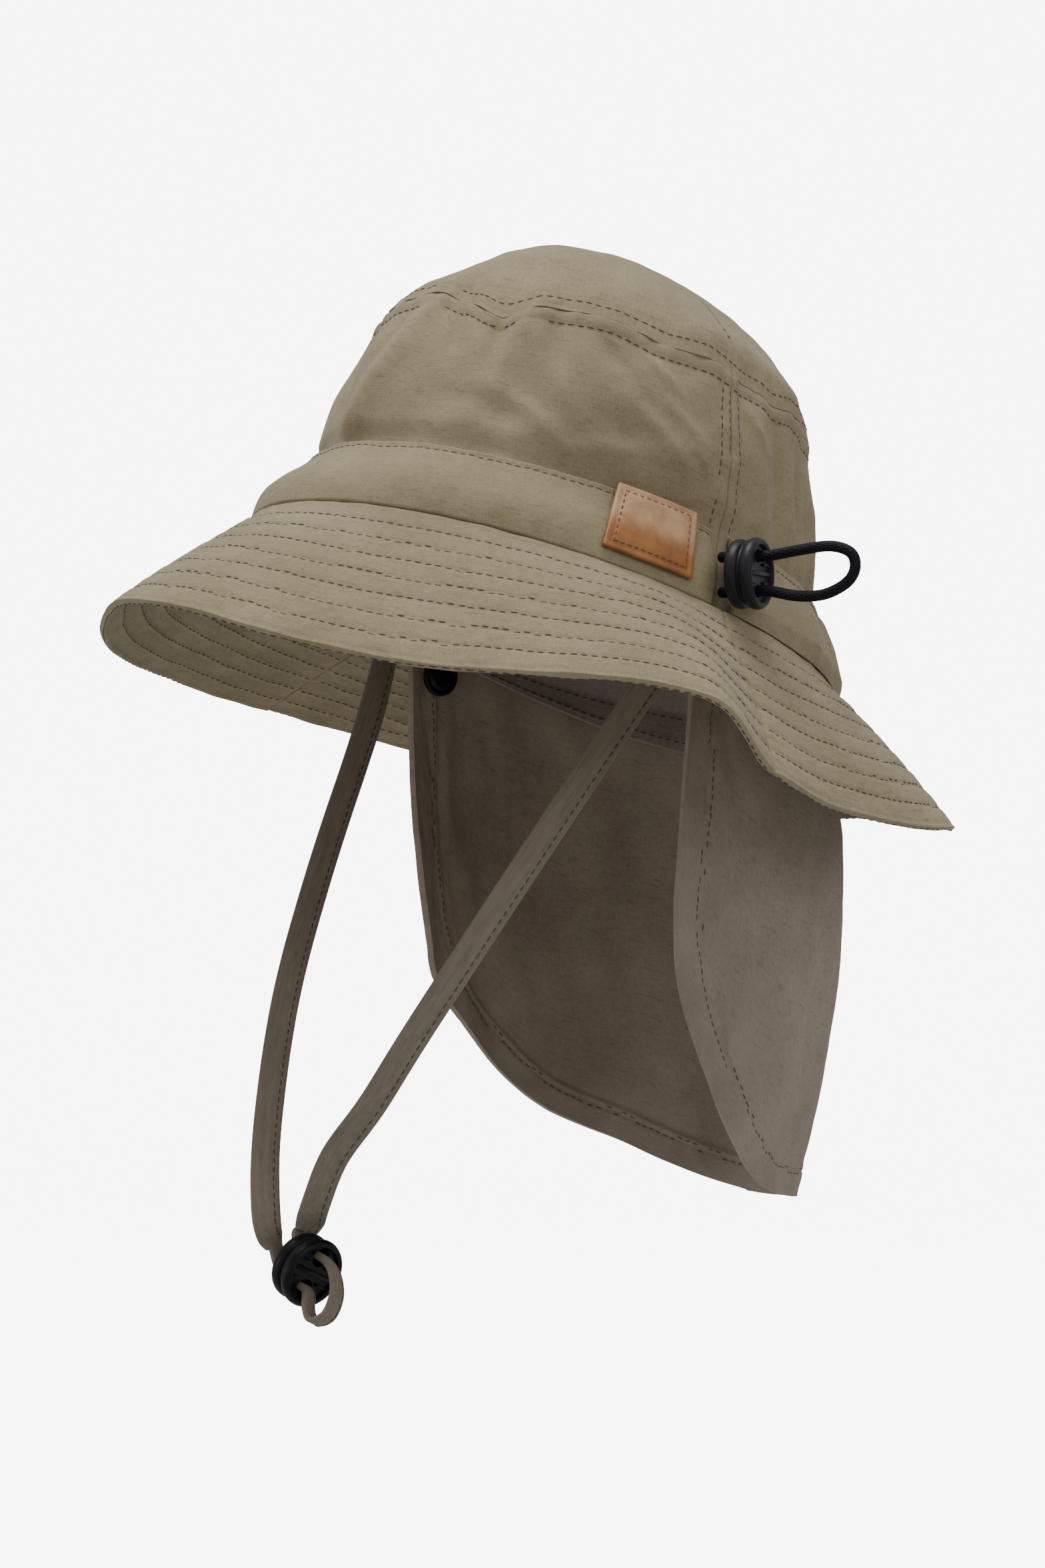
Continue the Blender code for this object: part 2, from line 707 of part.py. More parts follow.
def side_lock_frame():
    """The lock on the drawcord, close outside the slit in the band."""
    band = seated(band_point(0.0, 0.45))
    centre = Vector((band.x + SIDE_LOCK_OFF, SIDE_LOCK_BACK, SIDE_LOCK_RISE))
    return lock_frame(centre, SIDE_LOCK_FACES, SIDE_LOCK_UP)


def drawcord(collection):
    material = add_material("black elastic", BLACK_ELASTIC, 0.6)
    frame = side_lock_frame()
    points = [frame @ Vector((back, up, out)) for out, back, up in CORD_ROUTE]
    curve = bpy.data.curves.new("drawcord", "CURVE")
    curve.dimensions = "3D"
    curve.bevel_depth = CORD_DIAMETER / 2
    curve.bevel_resolution = 2
    curve.use_fill_caps = True
    spline = curve.splines.new("POLY")
    route = smooth_route(points, CORD_POINTS)
    spline.points.add(len(route) - 1)
    for point, place in zip(spline.points, route):
        point.co = (*place, 1.0)
    curve.materials.append(material)
    cord = bpy.data.objects.new("drawcord", curve)
    collection.objects.link(cord)


def leather_patch(collection, hat):
    """A small rectangle that lies on the band and bends with it."""
    material = add_material("tan leather", LEATHER, 0.6)
    radius = (band_point(PATCH_ANGLE, 0.5) - Vector((0.0, 0.0, BAND_HEIGHT / 2))).length
    half_turn = PATCH_WIDTH / 2 / radius
    columns = [PATCH_ANGLE + half_turn * share for share in (-1, -0.6, -0.2, 0.2, 0.6, 1)]
    lean = math.atan2((BAND_SECTIONS[0].width - BAND_SECTIONS[-1].width) * RIM_WIDTH / 2, BAND_HEIGHT)
    rows = []
    for share in (-1, -0.5, 0, 0.5, 1):
        height = PATCH_RISE + PATCH_HEIGHT / 2 * share * math.cos(lean)
        rise = (height - SEAM_GAP) / BAND_HEIGHT
        row = []
        for angle in columns:
            low, high = band_point(angle, 0.0), band_point(angle, 1.0)
            middle = band_point(angle, 0.5)
            bulge = (middle - (low + high) / 2).dot(oval_outward(angle))
            lift = PATCH_THICK + SEAM_GAP + max(0.0, bulge)
            row.append(low.lerp(high, rise) + oval_outward(angle) * lift)
        rows.append(row)
    sewn("leather_patch", rows, PATCH_THICK, (collection, hat, material))


def main():
    clear_scene()
    collection = add_collection("sun_hat")
    cutters = add_collection("cutters")
    hat = bpy.data.objects.new("tipped_back", None)
    hat.rotation_euler.x = -TIP_BACK
    collection.objects.link(hat)
    plastic = add_material("lock plastic", BLACK_PLASTIC, 0.4)
    crown(collection, hat)
    hat_band(collection, hat)
    brim(collection, hat)
    sweatband(collection, hat)
    neck_flap(collection)
    snaps(collection)
    chin_strap(collection)
    cord_lock("chin_cord_lock", chin_lock_frame(), STRAP_HOLE, collection, cutters, plastic)
    cord_hole = CORD_DIAMETER + 2 * CORD_PLAY
    cord_lock("side_cord_lock", side_lock_frame(), cord_hole, collection, cutters, plastic)
    drawcord(collection)
    leather_patch(collection, hat)


main()
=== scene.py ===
# %% [markdown]
# # A child's sun hat with a neck flap
# The hat's solids come first, as a frame that stays where it is. They are plain: cloth walls
# without seams, locks without ribs. This script lays the real cloth, stitches, tape, leather
# and moulded plastic on them, one piece at a time, and prints what it made.

# %% Load the hat's solids
import math

import bpy
import numpy as np
from mathutils import Matrix, Vector, kdtree, noise


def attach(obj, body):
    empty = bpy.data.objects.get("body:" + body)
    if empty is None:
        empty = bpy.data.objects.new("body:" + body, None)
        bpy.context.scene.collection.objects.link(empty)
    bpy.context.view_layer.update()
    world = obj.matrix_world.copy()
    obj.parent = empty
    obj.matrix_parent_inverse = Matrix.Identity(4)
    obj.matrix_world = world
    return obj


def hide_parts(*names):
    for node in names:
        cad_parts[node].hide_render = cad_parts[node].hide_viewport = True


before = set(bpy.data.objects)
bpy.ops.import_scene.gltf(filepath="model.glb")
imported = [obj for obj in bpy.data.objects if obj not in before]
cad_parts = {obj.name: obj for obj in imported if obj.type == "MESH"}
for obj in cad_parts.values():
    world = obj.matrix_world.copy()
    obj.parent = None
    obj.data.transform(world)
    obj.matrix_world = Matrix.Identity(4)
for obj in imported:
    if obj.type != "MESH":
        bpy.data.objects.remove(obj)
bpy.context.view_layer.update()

print("solids:", sorted(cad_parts))

# %% [markdown]
# The camera stands in front of the hat and to the wearer's left, level with the flap's top,
# one metre away. The picture is taller than it is wide, so the lens is set for its height.

# %% Camera
CAMERA_TURN, CAMERA_ASIDE, CAMERA_LOW = math.radians(50), 0.0069, 0.048
FOCAL_PIXELS, PICTURE_TALL, SENSOR_TALL = 5091.6, 2353, 36.0
to_camera = Vector((math.sin(CAMERA_TURN), -math.cos(CAMERA_TURN), 0.0))
to_right = Vector((math.cos(CAMERA_TURN), math.sin(CAMERA_TURN), 0.0))
camera_data = bpy.data.cameras.new("camera")
camera_data.sensor_fit = "VERTICAL"
camera_data.sensor_height = SENSOR_TALL
camera_data.lens = SENSOR_TALL * FOCAL_PIXELS / PICTURE_TALL
camera = bpy.data.objects.new("camera", camera_data)
bpy.context.scene.collection.objects.link(camera)
axes = Matrix((to_right, Vector((0, 0, 1)), to_camera)).transposed().to_4x4()
place = to_camera - to_right * CAMERA_ASIDE - Vector((0, 0, CAMERA_LOW))
camera.matrix_world = Matrix.Translation(place) @ axes
bpy.context.scene.camera = camera
print("camera at", [round(c, 3) for c in place], "lens", round(camera_data.lens, 1), "mm")

# %% [markdown]
# A smooth curve through a few chosen values gives soft goods their forms: it passes through
# every value and has no corners. The same curve reads tables of sections and draws routes.

# %% Smooth curves
def curve_value(before, start, end, after, share):
    slope = end - before
    bend = 2 * before - 5 * start + 4 * end - after
    turn = 3 * (start - end) + after - before
    return start + 0.5 * share * (slope + share * (bend + share * turn))


def read(rows, column, at, turn=None):
    """A table's column at many places at once."""
    keys = np.array([row[0] for row in rows], float)
    values = np.array([row[column] for row in rows], float)
    at, count = np.asarray(at, float), len(rows)
    if turn:
        at = keys[0] + (at - keys[0]) % turn
        first = np.searchsorted(keys, at, side="right") - 1
        near = [values[(first + step) % count] for step in (-1, 0, 1, 2)]
        span = (keys[(first + 1) % count] - keys[first]) % turn
    else:
        at = np.clip(at, keys[0], keys[-1])
        first = np.minimum(np.searchsorted(keys, at, side="right") - 1, count - 2)
        near = [values[np.clip(first + step, 0, count - 1)] for step in (-1, 0, 1, 2)]
        span = keys[first + 1] - keys[first]
    return curve_value(*near, (at - keys[first]) / span)


def smooth_route(points, count):
    points = np.array([tuple(point) for point in points], float)
    last = len(points) - 1
    where = np.linspace(0, last, count)
    first = np.minimum(where.astype(int), last - 1)
    near = [points[np.clip(first + step, 0, last)] for step in (-1, 0, 1, 2)]
    return curve_value(*near, (where - first)[:, None])


# %% [markdown]
# The hat's main sizes and sections, in metres. Angles go round the head opening from the
# wearer's left towards the back. The hat is tipped back on the head; the flap and the strap
# hang straight down from it.

# %% Sizes and sections
TIP_BACK = math.radians(18)
RIM_LENGTH, RIM_WIDTH = 0.1936, 0.1510
WALL_HEIGHT, DOME_HEIGHT = 0.0709, 0.0345
BAND_HEIGHT, BACK_PUFF, SLIT = 0.0229, 0.0034, 0.0064
BRIM_WIDTH = 0.0600
GAP, JOIN = 0.0005, 0.0001
WALL = ((0.00, 0.978, 0.972, 0.0), (0.32, 0.844, 0.878, 0.0), (0.45, 0.838, 0.890, -0.006),
        (0.72, 0.798, 0.872, -0.018), (1.00, 0.722, 0.818, -0.024))
DOME = ((0.00, 1.0), (0.24, 0.950), (0.50, 0.818), (0.74, 0.650), (0.90, 0.490), (0.98, 0.235))
BAND = ((0.0, 1.0, 1.0), (0.5, 0.938, 0.960), (1.0, 0.866, 0.906))
DENTS = ((-78, 0.70, 0.0050, 9, 0.10), (-60, 0.62, -0.0016, 12, 0.12),
         (-112, 0.50, 0.0026, 16, 0.16), (-123, 0.84, 0.0076, 30, 0.13),
         (9, 0.69, 0.0030, 7, 0.08), (-30, 0.46, -0.0016, 20, 0.16),
         (33, 0.44, 0.0026, 9, 0.16), (150, 0.50, 0.0030, 14, 0.14),
         (100, 0.56, 0.0022, 12, 0.12))
BRIM = ((-180, 21, 1.0), (-150, 34, 0.93), (-120, 47, 0.87), (-90, 46, 0.93), (-60, 53, 1.0),
        (-36, 46, 1.0), (-15, 36, 1.0), (0, 49, 1.0), (15, 50, 1.0), (36, 36, 0.99),
        (60, 32, 0.76), (90, 22, 0.69), (120, 32, 0.75), (150, 17, 0.97))


def oval(angle, width, length, height, shift=0.0):
    x = width / 2 * np.cos(angle)
    y = shift + length / 2 * np.sin(angle)
    return np.stack([x, y, height + 0 * x], -1)


def outward(angle):
    level = np.stack([RIM_LENGTH * np.cos(angle), RIM_WIDTH * np.sin(angle), 0 * angle], -1)
    return level / np.linalg.norm(level, axis=-1, keepdims=True)


def seated(points):
    """The same points after the hat is tipped back."""
    c, s = math.cos(TIP_BACK), math.sin(TIP_BACK)
    x, y, z = np.moveaxis(np.asarray(points, float), -1, 0)
    return np.stack([x, y * c + z * s, z * c - y * s], -1)


# %% [markdown]
# Each cloth panel starts as a flat grid, as a cut piece of cloth does, and is laid on the
# hat's form. Its UV map keeps the cloth's own measure in metres, so that weave and seams run
# with the cloth. Relief across the panel gives it seams, puckers and creases, and the inner
# side gets its own. A wall thickness and a rounded fold along the edges finish it.

# %% Laying cloth
def only(*things):
    bpy.ops.object.select_all(action="DESELECT")
    for thing in things:
        thing.select_set(True)
    bpy.context.view_layer.objects.active = things[0]


def apply_modifier(piece, kind, **settings):
    only(piece)
    modifier = piece.modifiers.new(kind.lower(), kind)
    for key, value in settings.items():
        setattr(modifier, key, value)
    bpy.ops.object.modifier_apply(modifier=modifier.name)


def read_points(mesh):
    flat = np.empty(len(mesh.vertices) * 3)
    mesh.vertices.foreach_get("co", flat)
    return flat.reshape(-1, 3)


def write_points(mesh, points):
    mesh.vertices.foreach_set("co", np.ascontiguousarray(points, float).ravel())
    mesh.update()


def normals_of(form, u, v, step=0.0015):
    along = form(np.clip(u + step, 0, 1), v) - form(np.clip(u - step, 0, 1), v)
    up = form(u, np.clip(v + step, 0, 1)) - form(u, np.clip(v - step, 0, 1))
    normal = np.cross(along, up)
    return normal / np.maximum(np.linalg.norm(normal, axis=1, keepdims=True), 1e-12)


def edit_mesh(piece, *steps):
    """Runs mesh operators, each on all of a piece's mesh."""
    only(piece)
    bpy.ops.object.mode_set(mode="EDIT")
    for operator, settings in steps:
        bpy.ops.mesh.select_all(action="SELECT")
        operator(**settings)
    bpy.ops.object.mode_set(mode="OBJECT")


MERGE = (bpy.ops.mesh.remove_doubles, {"threshold": 0.00001})
FACE_OUT = (bpy.ops.mesh.normals_make_consistent, {"inside": False})


def new_shape(operator, name=None, **settings):
    bpy.ops.object.select_all(action="DESELECT")
    operator(**settings)
    piece = bpy.context.object
    if name:
        piece.name = piece.data.name = name
    return piece


def add_grid(name, across, up):
    piece = new_shape(bpy.ops.mesh.primitive_grid_add, name, x_subdivisions=across,
                      y_subdivisions=up, size=1.0)
    flat = read_points(piece.data)
    return piece, flat[:, 0] + 0.5, flat[:, 1] + 0.5


def along_line(points):
    """How far each point of a line is from its start, along the line."""
    return np.concatenate([[0], np.cumsum(np.linalg.norm(np.diff(points, axis=0), axis=1))])


def measure_uv(piece, u, v, size):
    corner = np.empty(len(piece.data.loops), int)
    piece.data.loops.foreach_get("vertex_index", corner)
    spread = np.stack([u[corner] * size[0], v[corner] * size[1]], -1)
    piece.data.uv_layers.active.data.foreach_set("uv", spread.ravel())


def lay_cloth(name, across, up, form, thickness, relief, inner=None, fold=0.4):
    """A panel of cloth on a form, with relief on its outer and inner side."""
    piece, u, v = add_grid(name, across, up)
    base, normal = form(u, v), normals_of(form, u, v)
    line, middle = np.linspace(0, 1, 80), np.full(80, 0.5)
    size = [along_line(form(*places))[-1] for places in ((line, middle), (middle, line))]
    measure_uv(piece, u, v, size)
    outer = relief(u, v, base)
    write_points(piece.data, base + normal * outer[:, None])
    count = len(u)
    apply_modifier(piece, "SOLIDIFY", thickness=thickness, offset=-1.0, use_rim=True,
                   material_offset=1, material_offset_rim=0)
    depth = thickness + (inner(u, v, base) if inner else -outer)
    points = read_points(piece.data)
    points[count:] = base - normal * depth[:, None]
    write_points(piece.data, points)
    edit_mesh(piece, MERGE)
    if fold:
        apply_modifier(piece, "BEVEL", width=thickness * fold, segments=2,
                       limit_method="ANGLE", angle_limit=math.radians(60))
    print(name, len(piece.data.polygons), "faces,", [round(1000 * s) for s in size], "mm")
    return piece


# %% [markdown]
# Wrinkles in cloth aren't random grain: they start at seams and die out, and they are longer
# than they are wide. So noise is read in the cloth's own measure, stretched along the fold,
# and faded with the distance from the seam that causes it.

# %% Wrinkles and grooves
def wander(x, y, seed, x_size, y_size):
    """Smooth noise from -1 to 1, with features of the sizes given along x and y."""
    spots = zip(np.asarray(x) / x_size, np.asarray(y) / y_size)
    return np.array([noise.noise((a, b, seed)) for a, b in spots])


def near(distance, reach):
    return np.exp(-(distance / reach) ** 2)


def step_up(value, edge, soft):
    return 1 / (1 + np.exp(-np.clip((value - edge) / soft, -40, 40)))


# %% [markdown]
# The crown's wall is cut as a front and a back panel that meet in a flat seam at each side.
# The tip is one oval panel. Where they meet, the seam allowance lies double under the cloth
# and two rows of stitches hold it, so the cloth swells between the rows and puckers beside
# them. A crease runs down the front where the crown was folded flat in its packing.

# %% Crown forms
# How far the top seam sags below its level line, in millimetres, by angle
SEAM_SLIDE = ((-180, 0), (-150, 1.0), (-120, 1.0), (-104, -0.5), (-92, -2.2), (-80, -3.0), (-70, 1.0),
              (-61, 5.6), (-52, 1.8), (-44, 0.2), (-34, -0.8), (-20, 1.2), (-8, -0.6), (2, 0.6),
              (10, -0.8), (18, 1.6), (26, -0.4), (40, 0.8), (60, 0), (100, 1.2), (140, -0.6))
SLIDE_REACH = 0.013


def dented(points, angle):
    rise = points[:, 2] / (WALL_HEIGHT + DOME_HEIGHT)
    depth = 0
    for at, height, deep, wide, tall in DENTS:
        turned = (np.degrees(angle) - at + 180) % 360 - 180
        depth = depth + deep * np.exp(-((turned / wide) ** 2) - ((rise - height) / tall) ** 2)
    to_heart = np.array([0, 0, WALL_HEIGHT / 2]) - points
    moved = points + to_heart / np.linalg.norm(to_heart, axis=1, keepdims=True) * depth[:, None]
    slide = 0.001 * read(SEAM_SLIDE, 1, np.degrees(angle), 360)
    moved[:, 2] -= slide * near(points[:, 2] - WALL_HEIGHT, SLIDE_REACH)
    return moved


def wall_form(angle, rise):
    length, width, shift = (RIM_LENGTH * read(WALL, 1, rise), RIM_WIDTH * read(WALL, 2, rise),
                            RIM_LENGTH * read(WALL, 3, rise))
    points = oval(angle, width, length, WALL_HEIGHT * rise, shift)
    above = WALL_HEIGHT * rise - BAND_HEIGHT
    fade = np.clip(above / (WALL_HEIGHT - BAND_HEIGHT) * 3, 0, 1)[:, None]
    return points * (1 - fade) + dented(points, angle) * fade


def tip_form(angle, share):
    """The tip from its edge, at 0, to its middle, at 1."""
    rises = np.linspace(0, 1, 60)
    last, least = DOME[-1]
    rings = np.where(rises < last, read(DOME, 1, rises), least * np.sqrt((1 - rises) / (1 - last)))
    ring = 1 - share
    rise = np.interp(ring, rings[::-1], rises[::-1])
    height = WALL_HEIGHT + JOIN + (DOME_HEIGHT + GAP - JOIN) * rise
    width, length = RIM_WIDTH * WALL[-1][2] * ring, RIM_LENGTH * WALL[-1][1] * ring
    return dented(oval(angle, width, length, height, RIM_LENGTH * WALL[-1][3]), angle)


def crown_folds(points):
    """Broad soft folds, the same on both sides of every seam."""
    x, y, z = points.T
    return 0.0015 * wander(x + y * 0.6, z + y * 0.3, 3.1, 0.034, 0.055) \
        + 0.0008 * wander(x - z * 0.7, y + z, 7.7, 0.013, 0.030) \
        + 0.00022 * wander(x + z, y - z, 9.2, 0.005, 0.008)


def creased(table, across, up, across_size, up_size):
    """Lift by creases. Each row is a start and an end, across and up, then lift and half width in mm."""
    total = 0 * across
    for start, low, end, high, lift, wide in table:
        way = np.array([(end - start) * across_size, (high - low) * up_size])
        x, y = (across - start) * across_size, (up - low) * up_size
        along = np.clip((x * way[0] + y * way[1]) / (way @ way), 0, 1)
        away = np.hypot(x - along * way[0], y - along * way[1])
        total = total + 0.001 * lift * near(away, 0.001 * wide) * np.sin(math.pi * (0.12 + 0.76 * along))
    return total


# Across is the angle in degrees, and up the share of the wall's height
CREASES = (
    (-79, 1.10, -86, 0.66, 2.9, 5.5), (-86, 0.72, -95, 0.30, 2.7, 6.0),
    (-60, 1.04, -58, 0.70, -2.6, 3.4), (-56, 0.96, -46, 0.80, 1.0, 3.0),
    (-68, 0.92, -63, 0.46, -1.2, 6.0), (-50, 0.76, -52, 0.40, -1.3, 6.5),
    (-43, 0.76, -33, 0.47, 1.2, 3.6), (-27, 0.70, -10, 0.50, 1.6, 3.0), (-17, 0.74, -6, 0.60, 1.2, 2.4),
    (-35, 0.45, -14, 0.53, 1.2, 3.0), (-30, 0.60, -20, 0.47, -1.0, 3.0),
    (-112, 0.90, -104, 0.45, -1.4, 5.0), (-130, 0.80, -122, 0.40, 1.3, 5.0),
    (-150, 0.88, -141, 0.50, -1.3, 4.5), (9, 0.78, 13, 0.34, 1.3, 3.0), (17, 0.90, 18, 0.33, -1.3, 2.8),
    (24, 0.80, 24, 0.33, 1.6, 3.0), (32, 0.84, 31, 0.33, -1.6, 2.8), (40, 0.80, 42, 0.33, 1.6, 3.0),
    (150, 0.82, 146, 0.36, -1.4, 4.0), (120, 0.80, 126, 0.36, 1.2, 4.0),
    (-73, 0.97, -69, 0.72, -1.5, 2.6), (-53, 0.60, -36, 0.42, 1.3, 3.0),
    (-47, 0.93, -41, 0.70, -1.3, 2.6), (-66, 0.56, -48, 0.50, -0.9, 3.4),
    (-36, 0.92, -26, 0.78, -1.1, 2.2), (-24, 0.93, -15, 0.80, 1.1, 2.0), (-12, 0.62, -3, 0.50, 1.1, 2.2),
    (-90, 0.94, -96, 0.70, -1.4, 3.0), (5, 0.90, 12, 0.74, 1.2, 2.2),
)
CROWN_RADIUS = 0.070


def crown_creases(angle, rise):
    turned = (np.degrees(angle) + 180) % 360 - 180
    return creased(CREASES, turned, rise, math.radians(CROWN_RADIUS), WALL_HEIGHT)


SIDE_SEAM = 0.00335
TOP_ROW = 0.0042
WALL_CLOTH, WALL_ACROSS = 0.0012, math.pi * (RIM_WIDTH / 2) * 0.95
tip_shares = np.linspace(0, 1, 400)
tip_arc = along_line(tip_form(0 * tip_shares - 0.9, tip_shares))


def seam_pucker(angle, from_join):
    """Short folds across the top seam, the same on the wall and on the tip."""
    along = angle * CROWN_RADIUS
    strong = wander(along, from_join, 5, 0.0085, 0.03)
    small = wander(along, from_join, 6, 0.0036, 0.02)
    return (0.0010 * strong + 0.00045 * small) * near(from_join, 0.0085)


def join_relief(from_join):
    """The double cloth beside a seam, its row of stitches and the join itself."""
    double = 0.0004 * step_up(-from_join, -TOP_ROW, 0.0004)
    return double - 0.00038 * near(from_join - TOP_ROW, 0.0009) - 0.0003 * near(from_join, 0.0007)


def wall_relief(start):
    def relief(u, v, base):
        angle = start + math.pi * u
        from_top = (1 - v) * WALL_HEIGHT
        from_side = np.minimum(u, 1 - u) * WALL_ACROSS
        swell = 0.0004 * step_up(-from_side, -SIDE_SEAM, 0.0004)
        groove = 0.00038 * near(from_side - SIDE_SEAM, 0.0008) + 0.0003 * near(from_side, 0.0006)
        pucker = 0.0006 * near(from_side - 0.003, 0.007) * wander(from_side, from_top, 8, 0.02, 0.006)
        gather = 0.0012 * wander(angle * CROWN_RADIUS, from_top, 10, 0.0055, 0.09)
        gather = gather * near(v - BAND_HEIGHT / WALL_HEIGHT, 0.42) * np.clip(np.sin(angle) * 3 - 0.3, 0, 1)
        seams = join_relief(from_top) + seam_pucker(angle, from_top)
        return crown_folds(base) + crown_creases(angle, v) + seams + swell - groove + pucker + gather
    return relief


def tip_relief(u, v, base):
    from_edge = np.interp(v, tip_shares, tip_arc)
    seams = join_relief(from_edge) + seam_pucker(math.tau * u, from_edge)
    return crown_folds(base) + crown_creases(math.tau * u, 1 + from_edge / WALL_HEIGHT) + seams


def half_round(start, u):
    """Angles round one half of the hat, from side seam to side seam."""
    edge = JOIN / RIM_WIDTH
    return start + edge + (math.pi - 2 * edge) * u


def wall_place(start):
    low = GAP / WALL_HEIGHT
    return lambda u, v: seated(wall_form(half_round(start, u), low + (1 - low) * v))


def tip_place(u, v):
    return seated(tip_form(math.tau * u, v))


HALVES = (("front", -math.pi), ("back", 0.0))
wall_front, wall_back = (
    lay_cloth(f"crown_wall_{side}_cloth", 230, 76, wall_place(start), WALL_CLOTH, wall_relief(start),
              fold=0.2)
    for side, start in HALVES)
tip = lay_cloth("crown_tip_cloth", 280, 54, tip_place, WALL_CLOTH, tip_relief, fold=None)

# %% [markdown]
# The band covers the join of crown and brim. In front it is a flat strip folded at both
# edges, with one row of stitches under its top edge. Round the back, elastic gathers it into
# upright ripples. At the wearer's left both ends stop short and leave a slit for the cord.

# %% Hat band
BAND_CLOTH, BAND_ROW = 0.0014, 0.0017
FRONT_ACROSS, BACK_ACROSS, PATCH_AT = 0.26, 0.27, 0.918


def band_form(angle, rise, puff=0.0):
    width, length = RIM_WIDTH * read(BAND, 2, rise), RIM_LENGTH * read(BAND, 1, rise)
    points = oval(angle, width, length, GAP + BAND_HEIGHT * rise)
    return points + outward(angle) * np.reshape(puff, (-1, 1))


def front_band_form(u, v):
    start, end = -math.pi + JOIN / RIM_WIDTH, -SLIT / RIM_WIDTH
    return seated(band_form(start + (end - start) * u, v, 0 * u))


def front_band_relief(u, v, base):
    up, along = v * BAND_HEIGHT, u * FRONT_ACROSS
    from_top = BAND_HEIGHT - up
    groove = 0.0003 * near(from_top - BAND_ROW, 0.0006)
    beside_patch = 1 - near((u - PATCH_AT) * FRONT_ACROSS, 0.022)
    belly = 0.0024 * beside_patch * near(up - 0.0085, 0.0070) - 0.0002 * near(up, 0.0020)
    folds = 0.0006 * wander(along + up * 0.9, up * 0.5, 12, 0.016, 0.03) * np.clip(up / 0.004, 0, 1)
    fine = 0.0003 * wander(along, up, 14, 0.006, 0.012) + 0.0002 * near(from_top, 0.004) \
        * wander(along, up, 15, 0.003, 0.01)
    return belly + folds + fine - groove - 0.0006 * near((1 - u) * FRONT_ACROSS, 0.002)


def back_band_form(u, v):
    start, end = SLIT / RIM_WIDTH, math.pi - GAP / RIM_WIDTH
    angle = start + (end - start) * u
    share = np.interp(v, (0, 0.22, 0.5, 0.78, 1.0), (0.35, 1.0, 0.85, 0.5, 0.0))
    swell = np.sqrt(np.clip(np.sin(angle), 0, 1)) + 0.12 * np.sin(15 * angle)
    return seated(band_form(angle, v, np.clip(BACK_PUFF * share * swell, 0, 1)))


def back_band_relief(u, v, base):
    up, along = v * BAND_HEIGHT, u * BACK_ACROSS
    ripple = wander(along + 0.001 * np.sin(up * 300), up, 21, 0.0062, 0.060)
    fine = wander(along, up, 23, 0.0028, 0.03)
    held = np.clip(up / 0.003, 0, 1) * np.clip((BAND_HEIGHT - up) / 0.004, 0.15, 1)
    groove = 0.0003 * near(BAND_HEIGHT - up - BAND_ROW, 0.0006)
    return (0.0014 * ripple + 0.0004 * fine) * held - groove


band_front = lay_cloth("hat_band_front_cloth", 260, 30, front_band_form, BAND_CLOTH, front_band_relief)
band_back = lay_cloth("hat_band_back_cloth", 270, 26, back_band_form, BAND_CLOTH, back_band_relief)

# %% [markdown]
# The brim is two layers of cloth over a stiffener, held by rows of stitches that follow the
# hem. Each row draws the layers together, so the brim has flat ribs with grooves between.
# The upper cloth is the crown's; the under side is a greyer cloth.

# %% Brim
BRIM_ROWS = (0.115, 0.240, 0.365, 0.490, 0.615, 0.740, 0.865)
HEM_ROW, BRIM_CLOTH, BRIM_RADIUS, BRIM_ACROSS = 0.0013, 0.0020, 0.13, 0.30


def brim_form(angle, share):
    turned = np.degrees(angle)
    slope = np.radians(read(BRIM, 1, turned, 360)) + math.radians(5) * (share - 0.5)
    reach = BRIM_WIDTH * read(BRIM, 2, turned, 360) * share
    drop = np.stack([0 * reach, 0 * reach, -reach * np.sin(slope)], -1)
    out = (reach * np.cos(slope))[:, None] * outward(angle)
    return oval(angle, RIM_WIDTH, RIM_LENGTH, 0 * reach) + out + drop


def brim_grooves(share):
    rows = sum(near((share - row) * BRIM_WIDTH, 0.0009) for row in BRIM_ROWS)
    return 0.0004 * rows + 0.0003 * near((1 - share) * BRIM_WIDTH - HEM_ROW, 0.0007)


def brim_puckers(angle, share, seed):
    along = angle * BRIM_RADIUS
    out = share * BRIM_WIDTH
    beside = sum(near((share - row) * BRIM_WIDTH - 0.0015, 0.0030) for row in BRIM_ROWS)
    small = 0.00036 * beside * wander(along, out, seed, 0.0040, 0.0060)
    waves = 0.0014 * share ** 2 * wander(along, out, seed + 2, 0.030, 0.09)
    return small + waves, 0.0005 * wander(along, out, seed + 5, 0.011, 0.006)


def brim_place(start):
    return lambda u, v: seated(brim_form(half_round(start, u), 1 - v))


def brim_half(name, start):
    def relief(u, v, base):
        puckers, dimples = brim_puckers(half_round(start, u), 1 - v, 31)
        from_seam = np.minimum(u, 1 - u) * BRIM_ACROSS
        against_band = 0.00045 * near((1 - v) * BRIM_WIDTH, 0.0022)
        seam = 0.0006 * near(from_seam, 0.0012) * np.clip((1 - v) * BRIM_WIDTH / 0.004, 0, 1)
        return puckers + dimples * 0.5 - brim_grooves(1 - v) - seam + against_band

    def inner(u, v, base):
        puckers, dimples = brim_puckers(half_round(start, u), 1 - v, 31)
        return dimples + brim_grooves(1 - v) * 0.9 - puckers

    return lay_cloth(name, 330, 84, brim_place(start), BRIM_CLOTH, relief, inner)


brim_front, brim_back = (brim_half(f"brim_{side}_cloth", start) for side, start in HALVES)

# %% [markdown]
# Inside the opening a sweatband covers the raw edges. Behind, it hangs a little lower than
# the rim, and that part shows under the brim as dark bands with two rows of stitches.

# %% Sweatband
SWEATBAND_SAG, SWEATBAND_RISE, SWEATBAND_TALL, SWEATBAND_LONG = 0.0125, 0.0170, 0.03, 0.5


